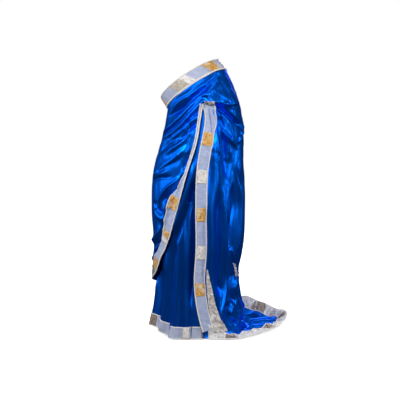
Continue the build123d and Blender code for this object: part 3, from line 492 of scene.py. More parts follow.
def track_in(smooth_grid, grid, t, w, width, steps=14):
    """Marches in from an edge of a cloth, square to the edge over the smooth cloth, and keeps the points and
    normals of the folded cloth at each step: (distances in, points, normals, distance along the edge)."""
    edge = grid.at(t, w)
    tangent = unit(np.gradient(smooth_grid.at(t, w), axis=0))
    points, normals = [edge], [grid.normal(t, w)]
    small = 2e-3  # of the sheet, over which its slopes are taken
    for _ in range(steps):
        inward = np.cross(smooth_grid.normal(t, w), tangent)
        here = smooth_grid.at(t, w)
        t1, w1 = np.where(t > 0.5, t - small, t + small), np.where(w > 0.5, w - small, w + small)
        d_t = (smooth_grid.at(t1, w) - here) / (t1 - t)[:, None]
        d_w = (smooth_grid.at(t, w1) - here) / (w1 - w)[:, None]
        tt, ww, tw = (d_t * d_t).sum(-1), (d_w * d_w).sum(-1), (d_t * d_w).sum(-1)
        gt, gw = (d_t * inward).sum(-1), (d_w * inward).sum(-1)
        size = np.maximum(tt * ww - tw * tw, 1e-9)
        t = np.clip(t + width / steps * (gt * ww - gw * tw) / size, 0, 1)
        w = np.clip(w + width / steps * (gw * tt - gt * tw) / size, 0, 1)
        points.append(grid.at(t, w))
        normals.append(grid.normal(t, w))
    return np.linspace(0, width, steps + 1), np.stack(points, 1), np.stack(normals, 1), run_along(edge)


def tube(points, normals, lift, radius, start, sides=8):
    """Verts, faces and cloth coordinates of a round cord along points, lifted off the cloth."""
    tangent = unit(np.gradient(points, axis=0))
    side = unit(np.cross(tangent, normals))
    up = np.cross(side, tangent)
    turn = np.arange(sides) * 2 * math.pi / sides
    ring = (np.cos(turn)[None, :, None] * side[:, None] + np.sin(turn)[None, :, None] * up[:, None]) * radius
    verts = (points + normals * lift)[:, None] + ring
    rows = len(points)
    j, i = np.meshgrid(np.arange(rows - 1), np.arange(sides), indexing="ij")
    k = (i + 1) % sides
    faces = np.stack([start + j * sides + i, start + (j + 1) * sides + i, start + (j + 1) * sides + k,
                      start + j * sides + k], -1).reshape(-1, 4).tolist()
    faces += [[start + i for i in range(sides)],
              [start + (rows - 1) * sides + i for i in reversed(range(sides))]]
    v, u = np.meshgrid(run_along(points), turn * radius, indexing="ij")
    return verts.reshape(-1, 3), faces, np.stack([u.ravel(), v.ravel()], -1)


def cords_object(name, paths, material, slot, lift=0.0015, radius=PIPING / 2):
    """A piece of piping along each (points, normals) path."""
    verts, faces, uvs, start = [], [], [], 0
    for points, normals in paths:
        v, f, uv = tube(points, normals, lift, radius, start)
        verts.append(v), faces.extend(f), uvs.append(uv)
        start += len(v)
    return mesh_object(name, np.concatenate(verts), faces, np.concatenate(uvs), material)


def line_on(track, span, inset):
    """The line on a track at an inset from its edge, as (points, normals)."""
    where, facing, _, _ = read_track(track, span, np.reshape(inset, (-1, 1)))
    return where[:, 0], facing[:, 0]


# ---- Finishes ----
class Finish:
    """A material's nodes, with short ways to add them."""

    def __init__(self, name, **surface):
        self.material = bpy.data.materials.new(name)
        self.material.use_nodes = True
        self.tree = self.material.node_tree
        self.surface = self.tree.nodes["Principled BSDF"]
        for socket, value in surface.items():
            self.surface.inputs[socket.replace("_", " ")].default_value = value

    def node(self, kind, **settings):
        made = self.tree.nodes.new("ShaderNode" + kind)
        for key, value in settings.items():
            setattr(made, key, value)
        return made

    def join(self, output, socket):
        self.tree.links.new(output, socket)
        return self

    def place(self, stretch=(1, 1, 1), turn=0.0, source="cloth"):
        """Coordinates, in metres times stretch: the cloth's own, or the object's."""
        if source == "cloth":
            start = self.node("UVMap", uv_map="cloth").outputs["UV"]
        else:
            start = self.node("TexCoord").outputs["Object"]
        mapping = self.node("Mapping")
        mapping.inputs["Scale"].default_value = stretch
        mapping.inputs["Rotation"].default_value = (0, 0, turn)
        self.join(start, mapping.inputs["Vector"])
        return mapping.outputs["Vector"]

    def noise(self, where, detail=4.0, roughness=0.55, distortion=0.0):
        made = self.node("TexNoise")
        for socket, value in (("Scale", 1.0), ("Detail", detail), ("Roughness", roughness),
                              ("Distortion", distortion)):
            made.inputs[socket].default_value = value
        self.join(where, made.inputs["Vector"])
        return made.outputs["Fac"]

    def waves(self, where, scale, distortion=0.0, direction="X"):
        made = self.node("TexWave", bands_direction=direction)
        made.inputs["Scale"].default_value = scale
        made.inputs["Distortion"].default_value = distortion
        self.join(where, made.inputs["Vector"])
        return made.outputs["Fac"]

    def sum(self, a, b, kind="ADD", clamp=False):
        made = self.node("Math", operation=kind, use_clamp=clamp)
        for socket, value in zip(made.inputs, (a, b)):
            if isinstance(value, (int, float)):
                socket.default_value = value
            else:
                self.join(value, socket)
        return made.outputs[0]

    def step(self, value, low, high):
        """0 under low, 1 over high."""
        made = self.node("MapRange", interpolation_type="SMOOTHSTEP")
        self.join(value, made.inputs["Value"])
        made.inputs["From Min"].default_value, made.inputs["From Max"].default_value = low, high
        return made.outputs["Result"]

    def span(self, value, low, high):
        """0..1 mapped on to low..high."""
        made = self.node("MapRange")
        self.join(value, made.inputs["Value"])
        made.inputs["To Min"].default_value, made.inputs["To Max"].default_value = low, high
        return made.outputs["Result"]

    def colours(self, share, first, second):
        """A mix of two colours, each a tuple or an output."""
        made = self.node("Mix", data_type="RGBA")
        self.join(share, made.inputs[0])
        for socket, value in ((made.inputs[6], first), (made.inputs[7], second)):
            if isinstance(value, tuple):
                socket.default_value = (*value, 1)
            else:
                self.join(value, socket)
        return made.outputs[2]

    def paint(self, colour):
        return self.join(colour, self.surface.inputs["Base Color"])

    def dull(self, roughness):
        return self.join(roughness, self.surface.inputs["Roughness"])

    def bump(self, height, distance, strength=1.0, under=None):
        made = self.node("Bump")
        made.inputs["Strength"].default_value = strength
        made.inputs["Distance"].default_value = distance
        self.join(height, made.inputs["Height"])
        if under is not None:
            self.join(under, made.inputs["Normal"])
        return made.outputs["Normal"]

    def finish(self, normal):
        self.join(normal, self.surface.inputs["Normal"])
        return self.material


# Scales of the threads' bands, in the wave texture's own units to the metre
SATIN_WEAVE, PLAIN_WEAVE, SHEER_WEAVE, BROCADE_RIBS, CORD_RIBS = 700.0, 420.0, 300.0, 350.0, 240.0


def satin(name, bright, deep, metallic, roughness):
    """Smooth satin: fine weave, slubs, small puckers, and a little colour change from dyeing and wear."""
    f = Finish(name, Metallic=metallic, Anisotropic=0.35, Specular_IOR_Level=0.25,
               Specular_Tint=(0.03, 0.30, 1.0, 1))
    tangent = f.node("Tangent", direction_type="UV_MAP", uv_map="cloth")
    f.join(tangent.outputs[0], f.surface.inputs["Tangent"])
    dye = f.noise(f.place((5, 3, 1)), 5.0)
    slub = f.noise(f.place((900, 30, 1)), 2.0)
    f.paint(f.colours(f.sum(f.sum(dye, 0.75, "MULTIPLY"), f.sum(slub, 0.25, "MULTIPLY")), deep, bright))
    f.dull(f.span(f.noise(f.place((22, 22, 1)), 6.0), roughness - 0.06, roughness + 0.08))
    fine = f.bump(f.waves(f.place(), SATIN_WEAVE, 0.4), 0.00006, 0.35)
    pucker = f.bump(f.noise(f.place((48, 15, 1)), 3.0, 0.5), 0.0022, 0.22, fine)
    return f.finish(pucker)


def cotton(name, light, dark):
    """Plain woven cotton."""
    f = Finish(name, Sheen_Weight=0.3)
    f.paint(f.colours(f.noise(f.place((40, 40, 1)), 6.0), dark, light))
    f.dull(f.span(f.noise(f.place((60, 60, 1))), 0.75, 0.95))
    warp, weft = f.waves(f.place(), PLAIN_WEAVE), f.waves(f.place(), PLAIN_WEAVE, 0.0, "Y")
    return f.finish(f.bump(f.sum(warp, weft), 0.0002, 0.6))


def organza(name, light, dark, crumple=0.5):
    """Crisp silver organza: fine crossed threads, with soft creases whose hollows are painted darker and
    crests lighter.
    """
    f = Finish(name, Metallic=0.15, Sheen_Weight=0.15)
    crease = f.noise(f.place((34, 60, 1), 0.3), 5.0, 0.6, 0.8)
    # The colour follows the creases' height: the dark colour in their hollows is painted shade and the light
    # colour on their crests is painted sheen.
    f.paint(f.colours(f.step(crease, 0.30, 0.70), dark, light))
    f.dull(f.span(crease, 0.38, 0.58))
    warp, weft = f.waves(f.place(), SHEER_WEAVE, 0.6), f.waves(f.place(), SHEER_WEAVE, 0.6, "Y")
    weave = f.bump(f.sum(warp, weft), 0.00025, 0.5)
    return f.finish(f.bump(crease, 0.003, crumple, weave))


SCROLLS_PER_METRE, SCROLL_TURNS = 110.0, 16.0


def brocade(name, ground, thread, deep, worn_to=None):
    """Brocade: raised scrolls of bright thread on a ribbed ground, with worn pale places."""
    f = Finish(name, Metallic=0.25)
    cells = f.node("TexVoronoi", feature="SMOOTH_F1")
    cells.inputs["Scale"].default_value = SCROLLS_PER_METRE
    f.join(f.place(turn=0.5), cells.inputs["Vector"])
    scroll = f.sum(f.sum(cells.outputs["Distance"], SCROLL_TURNS, "MULTIPLY"), 0.0, "SINE")
    raised = f.step(scroll, -0.15, 0.45)
    worn = f.noise(f.place((120, 120, 1)), 5.0)
    cloud = f.step(f.noise(f.place((34, 34, 1), 0.7), 3.0), 0.50, 0.62)
    base = f.colours(f.step(worn, 0.30, 0.60), deep, ground)
    base = f.colours(f.sum(raised, 0.7, "MULTIPLY"), base, thread)
    f.paint(base if worn_to is None else f.colours(f.sum(cloud, 0.7, "MULTIPLY"), base, worn_to))
    f.dull(f.span(worn, 0.38, 0.62))
    ribs = f.bump(f.waves(f.place(), BROCADE_RIBS, 0.0, "Y"), 0.0002, 0.6)
    return f.finish(f.bump(raised, 0.0006, 0.7, ribs))


def ribbed(name, light, dark, metallic=0.0, ribs=CORD_RIBS):
    """Cord or ribbon with close ribs along or across it."""
    f = Finish(name, Metallic=metallic, Sheen_Weight=0.3)
    f.paint(f.colours(f.noise(f.place((80, 50, 1)), 5.0), dark, light))
    f.dull(f.span(f.noise(f.place((200, 90, 1))), 0.45, 0.7))
    return f.finish(f.bump(f.waves(f.place(), ribs, 0.5, "Y"), 0.0006, 0.8))


def tape_weave(name, colour, dark):
    """Woven tape, in the object's own coordinates."""
    f = Finish(name)
    f.paint(f.colours(f.noise(f.place((160, 160, 160), 0, "object"), 5.0), dark, colour))
    f.dull(f.span(f.noise(f.place((90, 90, 90), 0, "object")), 0.7, 0.95))
    return f.finish(f.bump(f.waves(f.place(source="object"), PLAIN_WEAVE, 0.0, "Z"), 0.0003, 0.7))


def metal(name, colour, worn, roughness):
    """Cast or drawn metal with brushed scratches and dulling."""
    f = Finish(name, Metallic=1.0)
    wear = f.noise(f.place((120, 120, 120), 0, "object"), 8.0)
    f.paint(f.colours(f.step(wear, 0.45, 0.75), colour, worn))
    f.dull(f.span(wear, roughness, roughness + 0.22))
    scratch = f.noise(f.place((2500, 90, 2500), 0.4, "object"), 3.0)
    return f.finish(f.bump(scratch, 0.0001, 0.25))


# ---- Cloth ----
def stand_for(made, **nodes):
    """Hides the CAD nodes, whose names are given with spaces between them, that the pieces in made stand for;
    made itself is not used.
    """
    for kind, names in nodes.items():
        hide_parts(*names.split())


def on_ring(angle, height, out):
    """A place on the waistband: angle round its ring, height over the seam, and distance out."""
    c, s = np.cos(angle), np.sin(angle)
    return (WAIST + WAIST_U * ((WAIST_HALF_U + out) * c)[..., None]
            + WAIST_V * ((WAIST_HALF_V + out) * s)[..., None] + WAIST_N * (height + 0 * angle)[..., None])


SEAM_ALLOWANCE = 0.002  # the cloth's top lies this far under the waist seam


def to_ring(points, rows, reach=0.07):
    """Moves the top of a tube so that its first row lies on the waist ring."""
    top = points[0]
    ring_angle = np.arctan2((top - WAIST) @ WAIST_V / WAIST_HALF_V, (top - WAIST) @ WAIST_U / WAIST_HALF_U)
    shift = on_ring(ring_angle, np.full(len(top), -SEAM_ALLOWANCE), np.full(len(top), MID_CLOTH)) - top
    depth = np.linalg.norm(points[:rows] - top, axis=-1)
    points[:rows] += shift * (1 - ramp(depth, 0.0, reach))[..., None]


def zip_angle(sections, z):
    """The angle on the far side at which the zip's slot lies, and half the slot's width as an angle."""
    front, back = smooth(z, sections[:, 0], sections[:, 1]), smooth(z, sections[:, 0], sections[:, 2])
    half = (back - front) / 2
    return 360 - np.degrees(np.arccos(((front + back) / 2 - ZIP_X) / half)), np.degrees(ZIP_SLOT / 2 / half)


SLOT_SHARE = (0.518, 0.528)  # across the sheet, the columns that bound the zip's slot
SLOT_FOOT = 0.802
SLOT_FREE, SLOT_HELD, SLOT_TOP = 0.70, 0.79, 1.1  # heights: columns even, held to the slot, and its top
ROUNDS = 8  # of settling a tube's angles and heights on each other


def slotted(t, left, right, centre, half, share):
    """Angles across a tube whose columns at SLOT_SHARE follow the slot's sides; share 0 is evenly spaced."""
    even = left + (right - left) * t
    a, b = SLOT_SHARE
    low, high = centre - half, centre + half
    held = np.where(t <= a, left + (low - left) * t / a, np.where(
        t >= b, high + (right - high) * (t - b) / (1 - b), low + (high - low) * (t - a) / (b - a)))
    return even * (1 - share) + held * share


def even_columns(count):
    """Fractions across a tube, with columns exactly on the slot's sides."""
    t = np.linspace(0, 1, count)
    for side in SLOT_SHARE:
        t[np.abs(t - side).argmin()] = side
    return t[None]


def settle(sections, t, w, sides, hem):
    """Angles and heights of a tube's points, at fractions across and down. The sides are angles that depend
    on height, and the hem is a height that depends on angle."""
    z = 1.0 - w * 0.95 + 0 * t
    for _ in range(ROUNDS):
        left, right = sides(z)
        centre, half = zip_angle(sections, np.clip(z, SLOT_FREE, SLOT_TOP))
        angle = slotted(t, left, right, centre, half, ramp(z, SLOT_FREE, SLOT_HELD))
        z = seam_height(sections, angle) * (1 - w) + hem(angle) * w
    return angle, z


def slot_mask(z, t):
    """The rows of a tube that the zip's slot runs through."""
    return z[:, np.abs(t[0] - SLOT_SHARE[0]).argmin()] > SLOT_FOOT


WRAP_CROWDING, TRAIN_CROWDING = 0.97, 1.15  # rows lie closer together towards the start of the train
RING_ROWS = 60  # the wrap's rows that may move to meet the waist ring
OFF_FLOOR = 0.0022
CURL_SHARE = 0.8  # of a short train that may curl


def wrap_grid(folded=1.0):
    """The outer wrap and its train as one sheet, from the waist seam to the rim, and the zip slot's mask."""
    t = even_columns(WRAP_COLS)
    w = (np.linspace(0, 1, WRAP_ROWS)[:, None]) ** WRAP_CROWDING
    angle, z = settle(WRAP, t, w, lambda z: (edge_angles(CASCADE_EDGE, z), 360 + edge_angles(FRONT_EDGE, z)),
                      lambda angle: FOOT_BEND)
    skirt = body(WRAP, angle, z, MID_CLOTH + (wrap_out(angle, z) - MID_CLOTH) * folded)
    to_ring(skirt, RING_ROWS)
    base, turn = skirt[-1], angle[-1]
    rim = np.stack([smooth(turn, RIM[:, 0], RIM[:, k]) for k in (1, 2)], -1)
    lift = smooth(turn, RIM[:, 0], RIM[:, 3])
    run = np.linalg.norm(rim - base[:, :2], axis=1)
    q = np.linspace(0, 1, TRAIN_ROWS + 1)[1:, None] ** TRAIN_CROWDING
    bend = np.minimum(FOOT_BEND, run)
    flat = base[None, :, :2] * (1 - q[..., None]) + rim[None] * q[..., None]
    drop = base[None, :, 2] * (1 - np.sqrt(np.clip(1 - (1 - np.clip(q * run / bend, 0, 1)) ** 2, 0, 1)))
    curl = lift * ramp(run * q, run - np.minimum(RIM_CURL, run * CURL_SHARE), run) ** 1.1
    ripple = train_ripple(turn[None] + 0 * q, q, run) * folded
    train = np.concatenate([flat, (OFF_FLOOR + drop + curl + ripple)[..., None]], -1)
    return Grid(np.concatenate([skirt, train])), np.pad(slot_mask(z, t), (0, TRAIN_ROWS)), t[0]


WELD = 2e-5


def without_slot(piece, grid, slot_rows, t):
    """Cuts the zip's slot out of a whole-grid piece, and welds its seam above the gather."""
    rows, cols = grid.points.shape[:2]
    a, b = np.abs(t - SLOT_SHARE[0]).argmin(), np.abs(t - SLOT_SHARE[1]).argmin()
    cut = bmesh.new()
    cut.from_mesh(piece.data)
    cut.faces.ensure_lookup_table()
    gone = [cut.faces[j * (cols - 1) + i] for j in range(rows - 1) if slot_rows[j] for i in range(a, b)]
    bmesh.ops.delete(cut, geom=gone, context="FACES")
    bmesh.ops.remove_doubles(cut, verts=cut.verts, dist=WELD)
    cut.to_mesh(piece.data)
    cut.free()


UNDER_FOLDS = in_metres(
    (15, 15, 0.2, 0.2, 84, 740, 81, 660, 76, 600, 70, 545, 63, 485, 54, 420),
    (-15, 11, 0.2, 0.2, 86, 660, 81, 560, 75, 505, 67, 450, 58, 380),
    (10, 10, 0.2, 0.1, 73, 500, 73, 400, 74, 280, 75, 100, 76, 5),
    (-18, 11, 0.2, 0.2, 85, 600, 85, 420, 85, 300, 85, 120),
    (13, 17, 0.3, 0.1, 44, 400, 46, 300, 47, 210, 46, 95, 46, 5),
    (-14, 11, 0.2, 0.1, 60, 420, 61, 300, 60, 160, 61, 5),
    (-13, 10, 0.2, 0.1, 30, 300, 33, 200, 37, 105, 36, 5),
    (9, 12, 0.2, 0.1, 18, 240, 20, 150, 19, 5),
    (-10, 10, 0.2, 0.1, 4, 230, 5, 100, 4, 5))
HEM_FOOT = 0.0016
HEM_RISE = 0.030  # the hem lifts this much over the foot at the front
RISE_ANGLE, RISE_WIDTH = 12, 40
COVERED_IN = 13 * MM  # the underskirt is drawn in this far where the wrap covers it


def under_hem(angle):
    """Height of the underskirt's hem round the body."""
    return HEM_FOOT + HEM_RISE * np.exp(-((counted_from(-90, angle) - RISE_ANGLE) / RISE_WIDTH) ** 4)


def under_out(angle, z):
    """How far the underskirt stands out from its body: drawn in where the wrap covers it."""
    a = counted_from(FRONT_ANGLE, angle)
    field = fold_field(a, z, UNDER_FOLDS) + 1.2 * MM * noise(a * ARC, z, 0.018, 0.2, 31)
    field += 4 * MM * noise(a * ARC, z, 0.045, 0.9, 33) * ramp(z, 0.5, 0.1)
    left, right = edge_angles(FRONT_EDGE, z), edge_angles(CASCADE_EDGE, z)
    round_front = counted_from(-120, angle)
    shown = ramp(round_front, left - 6, left + 2) * ramp(round_front, right + 10, right + 1)
    return (field * shown - COVERED_IN * (1 - shown)) * ramp(seam_height(UNDER, a) - z, 0.0, 0.05)


def tube_grid(sections, hem, out, rows=150, cols=300):
    """A whole tube of cloth from the waist seam to its hem, with the zip's slot."""
    t = even_columns(cols)
    w = np.linspace(0, 1, rows)[:, None]
    angle, z = settle(sections, t, w, lambda z: (GATHER_ANGLE, GATHER_ANGLE + 360), hem)
    return Grid(body(sections, angle, z, out(angle, z))), slot_mask(z, t), t[0]


def petticoat_out(angle, z):
    """The petticoat keeps inside the underskirt."""
    return under_out(angle, z) * 0.8 - 1.5 * MM


PLEAT_TOP = 0.56
PLEAT_FRONT, PLEAT_BACK = (-0.165, -0.048), (-0.116, -0.009)  # x of its sides at the top, and their run down


def pleat_grid():
    """The box pleat that hangs in front of the underskirt, between the wrap's edges."""
    t, w = np.linspace(0, 1, 60)[None], np.linspace(0, 1, 150)[:, None]
    z = PLEAT_TOP * (1 - w) + HEM_FOOT * w + 0 * t
    x0, x1 = (top + run * w for top, run in (PLEAT_FRONT, PLEAT_BACK))
    x = x0 + (x1 - x0) * t
    front, back = smooth(z, UNDER[:, 0], UNDER[:, 1]), smooth(z, UNDER[:, 0], UNDER[:, 2])
    angle = np.degrees(np.arccos(((front + back) / 2 - x) / ((back - front) / 2)))
    crown = 1 - (2 * t - 1) ** 6
    out = under_out(angle, z) * 0.6 + (2.0 + 10.0 * crown * ramp(w, 0, 0.5)) * MM
    out += 6 * MM * np.exp(-((t - 0.32) / 0.15) ** 2) * w - 6 * MM * np.exp(-((t - 0.64) / 0.12) ** 2) * w
    return Grid(body(UNDER, angle, z, out))


def rides_skirt(*pieces):
    """Cloth that stays with the skirt."""
    for piece in pieces:
        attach(piece, "skirt")


def bends(*pieces):
    """Cloth that runs from the skirt on to the train."""
    for piece in pieces:
        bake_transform(piece)


def spots(first, pitch, count, length, end):
    """The (start, end) of patches along an edge, whose middles start at first."""
    middles = [first + pitch * k for k in range(count)]
    return [(m - length / 2, m + length / 2) for m in middles if m + length / 2 < end]


BAND_IN = 0.001  # from the edge of the cloth to the band, and from the band's inner edge to its cord
BAND_LIFT, PATCH_LIFT, PATCH_ARCH, PATCH_CRINKLE = 0.0011, 0.0030, 0.0003, 0.0002
NARROWEST = 0.0025
EDGE_CORD_IN, INNER_CORD_LIFT, INNER_CORD = 0.0005, 0.0018, PIPING * 0.42


def band_set(prefix, track, band, width, patches, cloth="organza", taper=None, seed=1,
             crinkle=0.0005):
    """A border: crinkled band, patches on it, and piping on both its edges. Gives the pieces by name."""
    wide = width if taper is None else width * taper
    end = track[3][-1]
    made = {"border": strips_object(prefix + "_border_band", [
        strip(track, band, (BAND_IN, np.maximum(wide - BAND_IN, NARROWEST)), BAND_LIFT, 0.0, 15, crinkle,
              seed)], FINISH[cloth])}
    for kind, spans in patches.items():
        if spans:
            made[kind] = strips_object(f"{prefix}_{kind}_patches", [
                strip(track, span, (PATCH_MARGIN, width - PATCH_MARGIN), PATCH_LIFT, PATCH_ARCH, 11,
                      PATCH_CRINKLE, seed + 5) for span in spans], FINISH[kind])
    made["edge"] = cords_object(prefix + "_edge_cord", [line_on(track, (0, end), EDGE_CORD_IN)],
                                FINISH["piping"], "cream_piping")
    made["inner"] = cords_object(prefix + "_inner_cord", [line_on(track, band, wide - BAND_IN)],
                                 FINISH["piping"], "cream_piping", INNER_CORD_LIFT, INNER_CORD)
    return made


HALF_FOLDED = 0.25  # share of the folds in the cloth that borders are squared to
FRONT_FIRST = 0.420  # from the front edge's top to the middle of its first patch
FRONT_WIDENS = (0.235, 0.440)  # from its top: where the front border starts to show, and is at its full width
FRONT_NARROW = 0.20


def build_wrap():
    """The outer wrap with its train, and every trim on its edges."""
    grid, slot_rows, t = wrap_grid()
    plain, _, _ = wrap_grid(HALF_FOLDED)
    wrap = sheet_object("satin_wrap", grid, FINISH["satin"], (1.30, 1.16))
    without_slot(wrap, grid, slot_rows, t)
    thicken(wrap, CLOTH)
    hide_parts("outer_wrap", "train_root", "train", "train_fold")

    rows = grid.points.shape[0]
    heights = grid.points[:, 0, 2]
    gather_row = np.abs(heights[:WRAP_ROWS] - GATHER_Z).argmin() / (rows - 1)
    foot_row = (WRAP_ROWS - 1) / (rows - 1)

    down = np.linspace(gather_row, foot_row - 0.004, EDGE_POINTS)
    cascade = track_in(plain, grid, np.zeros(EDGE_POINTS), down, EDGE_REACH)
    end = cascade[3][-1]
    spans = spots(CASCADE_FIRST, CASCADE_PITCH, 6, PATCH, end)
    cascade_set = band_set("cascade", cascade, (0, end), CASCADE,
                           {"gold": spans[0::2], "cream": spans[1:5:2], "bronze": spans[5:]},
                           seed=3)

    front = track_in(plain, grid, np.ones(EDGE_POINTS), down[::-1], RIM_REACH)
    end = front[3][-1]
    middles = [end - FRONT_FIRST - PATCH_PITCH * k for k in range(7)]
    spans = [(m - PATCH / 2, m + PATCH / 2) for m in middles if m > 0.04]
    taper = ramp(end - front[3], *FRONT_WIDENS)
    (low, high), bottom = spans[1], spans[2][0]
    middle = (low + high) / 2
    patches = {"gold": [spans[0], (middle, high), *spans[2::2]],
               "cream": [(low, middle - 0.001), *spans[3::2]],
               "bronze": [(bottom - 0.028, bottom - 0.001)]}
    front_set = band_set("front", front, (0, end), BORDER, patches,
                         taper=np.maximum(taper, FRONT_NARROW), seed=13)

    across = np.linspace(0.015, 0.985, RIM_POINTS)
    rim = track_in(plain, grid, across, np.ones(RIM_POINTS), RIM_REACH)
    end = rim[3][-1]
    spans = [(middle - PATCH / 2, middle + PATCH / 2) for middle in RIM_PATCHES]
    rim_set = band_set("train", rim, (0.004, end - 0.004), BORDER, {"bronze": spans}, "crumpled",
                       seed=23, crinkle=0.0014)

    stand_for(cascade_set, border="cascade_border", gold="cascade_gold_patches",
              cream="cascade_cream_patches", edge="cascade_edge_piping", inner="cascade_back_piping")
    stand_for(front_set, border="front_border far_border", gold="front_gold_patches",
              cream="front_cream_patches far_patches", edge="front_edge_piping far_edge_piping",
              inner="front_inner_piping far_inner_piping")
    stand_for(rim_set, border="train_root_border train_border", bronze="train_patches",
              edge="train_root_edge_piping train_edge_piping", inner="train_inner_piping")

    trims = [*cascade_set.values(), *front_set.values(), *rim_set.values(), *build_laid(grid)]
    bends(wrap, *trims)


NEAR_COLS = 130  # the wrap's columns on the near side


def wrap_place(grid, x, z):
    """(t, w) on the near side of the wrap for places given by x and height."""
    points = grid.points[:WRAP_ROWS, :NEAR_COLS]
    rows, cols = grid.points.shape[:2]
    found = []
    for px, pz in zip(np.ravel(x), np.ravel(z)):
        far = (points[..., 0] - px) ** 2 + (points[..., 2] - pz) ** 2
        j, i = np.unravel_index(far.argmin(), far.shape)
        found.append((i / (cols - 1), j / (rows - 1)))
    t, w = np.array(found).T
    return t.reshape(np.shape(x)), w.reshape(np.shape(z))


def patch_on(grid, left, right, size, lift, crinkle, seed, scale=0.006):
    """A piece laid on the near side of the wrap, between two sides that run down as (x, height)."""
    v, u = np.meshgrid(np.linspace(0, 1, size[1]), np.linspace(0, 1, size[0]), indexing="ij")
    sides = []
    for side in (left, right):
        p = np.array(side, float)
        place = np.linspace(0, 1, len(p))
        sides.append([smooth(v, place, p[:, k]) for k in (0, 1)])
    x, z = [sides[0][k] * (1 - u) + sides[1][k] * u for k in (0, 1)]
    t, w = wrap_place(grid, x, z)
    hump = lift * np.minimum(1, 6 * np.minimum.reduce([u, 1 - u, v * 2, (1 - v) * 2]) + 0.25)
    hump = hump + crinkle * (1 + noise(u * 0.05, z, scale, scale * 5, seed)
                             + 0.5 * noise(x + z, z, scale, scale, seed + 1))
    points = grid.at(t, w) + grid.normal(t, w) * hump[..., None]
    return points, np.stack([x - x.min(), z.max() - z], -1)


# Small pieces on the near side of the wrap: their sides as (x, height), points across and down, lift,
# crinkle, seed, finish, slot and the CAD node they stand for. They are the turned-back edge that flares
# beside the cascade's foot, a turned edge of border where the back is pinched in, the underside that shows
# between the wrap's edges below the gather, and the fold over the cascade's top.
LAID = {
    "cascade_return_cloth": ([(-0.056, 0.290), (-0.055, 0.200), (-0.047, 0.110), (-0.026, 0.022)],
                             [(-0.053, 0.290), (-0.034, 0.205), (-0.012, 0.112), (0.030, 0.024)],
                             (34, 90), 0.0035, 0.0016, 41, "return", "cream_brocade", "cascade_return"),
    "back_pinch_cloth": ([(0.050, 0.302), (0.062, 0.240)], [(0.060, 0.300), (0.074, 0.238)],
                         (14, 26), 0.0035, 0.0010, 45, "crumpled", "silver_organza_border",
                         "back_pinch_border"),
    # The underside's organza is a darker copy of the silver organza: painted shade of the narrow gap under
    # the gather.
    "gather_underside_cloth": ([(-0.078, 0.952), (-0.082, 0.910), (-0.085, 0.872)],
                               [(-0.064, 0.952), (-0.068, 0.910), (-0.074, 0.872)],
                               (14, 50), 0.0030, 0.0004, 49, "grey", "silver_organza_border",
                               "cascade_top_fold"),
    # The fold's dark brown brocade is painted shadow under the overhang at the gather, over cloth whose slot
    # is gold brocade.
    "cascade_fold_cloth": ([(-0.066, 0.962), (-0.065, 0.951)], [(-0.024, 0.960), (-0.024, 0.948)],
                           (34, 14), 0.0060, 0.0004, 51, "fold", "gold_brocade")}


def build_laid(grid):
    """The pieces of LAID."""
    made = []
    for name, (left, right, size, lift, crinkle, seed, finish, slot, *nodes) in LAID.items():
        laid = patch_on(grid, left, right, size, lift, crinkle, seed)
        made.append(strips_object(name, [laid], FINISH[finish]))
        if nodes:
            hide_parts(*nodes)
    return made


PETTICOAT_HEM = 0.060


def build_underskirt():
    """The underskirt and petticoat, the box pleat, and the hem's border."""
    grid, slot_rows, t = tube_grid(UNDER, under_hem, under_out)
    under = sheet_object("satin_underskirt", grid, FINISH["lining"], (1.15, 1.05))
    without_slot(under, grid, slot_rows, t)
    thicken(under, CLOTH)
    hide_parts("underskirt")
    lawn, slot_rows, t = tube_grid(PETTICOAT, lambda angle: PETTICOAT_HEM, petticoat_out, 90, 200)
    petti = sheet_object("cotton_petticoat", lawn, FINISH["cotton"], (1.1, 1.0))
    without_slot(petti, lawn, slot_rows, t)
    thicken(petti, 0.0008)
    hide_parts("petticoat")

    hem = track_in(grid, grid, np.linspace(0, 1, EDGE_POINTS), np.ones(EDGE_POINTS), EDGE_REACH)
    end = hem[3][-1]
    hem_set = band_set("hem", hem, (0.002, end - 0.002), BORDER,
                       {"bronze": spots(0.07, end / 8, 8, PATCH, end)}, "pale", seed=53)
    stand_for(hem_set, border="hem_border", bronze="hem_patches", edge="hem_foot_piping",
              inner="hem_top_piping")

    pleat_sheet = pleat_grid()
    pleat = sheet_object("box_pleat_cloth", pleat_sheet, FINISH["lining"],
                         (0.09, 0.56))
    thicken(pleat, CLOTH)
    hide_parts("box_pleat")
    foot = track_in(pleat_sheet, pleat_sheet, np.linspace(0.01, 0.99, 60), np.ones(60), EDGE_REACH)
    end = foot[3][-1]
    pleat_set = band_set("box_pleat", foot, (0.001, end - 0.001), BORDER,
                         {"cream": [(end - 0.030, end - 0.004)]}, "pale", seed=63)
    stand_for(pleat_set, border="box_pleat_border", cream="box_pleat_patch", inner="box_pleat_piping")
    rides_skirt(under, petti, pleat, *hem_set.values(), *pleat_set.values())


SHORT_PATCH = 0.030
BAND_ROWS, MIDDLE = 15, 7  # heights up the waistband, and the middle one
STAY_IN = 0.0024


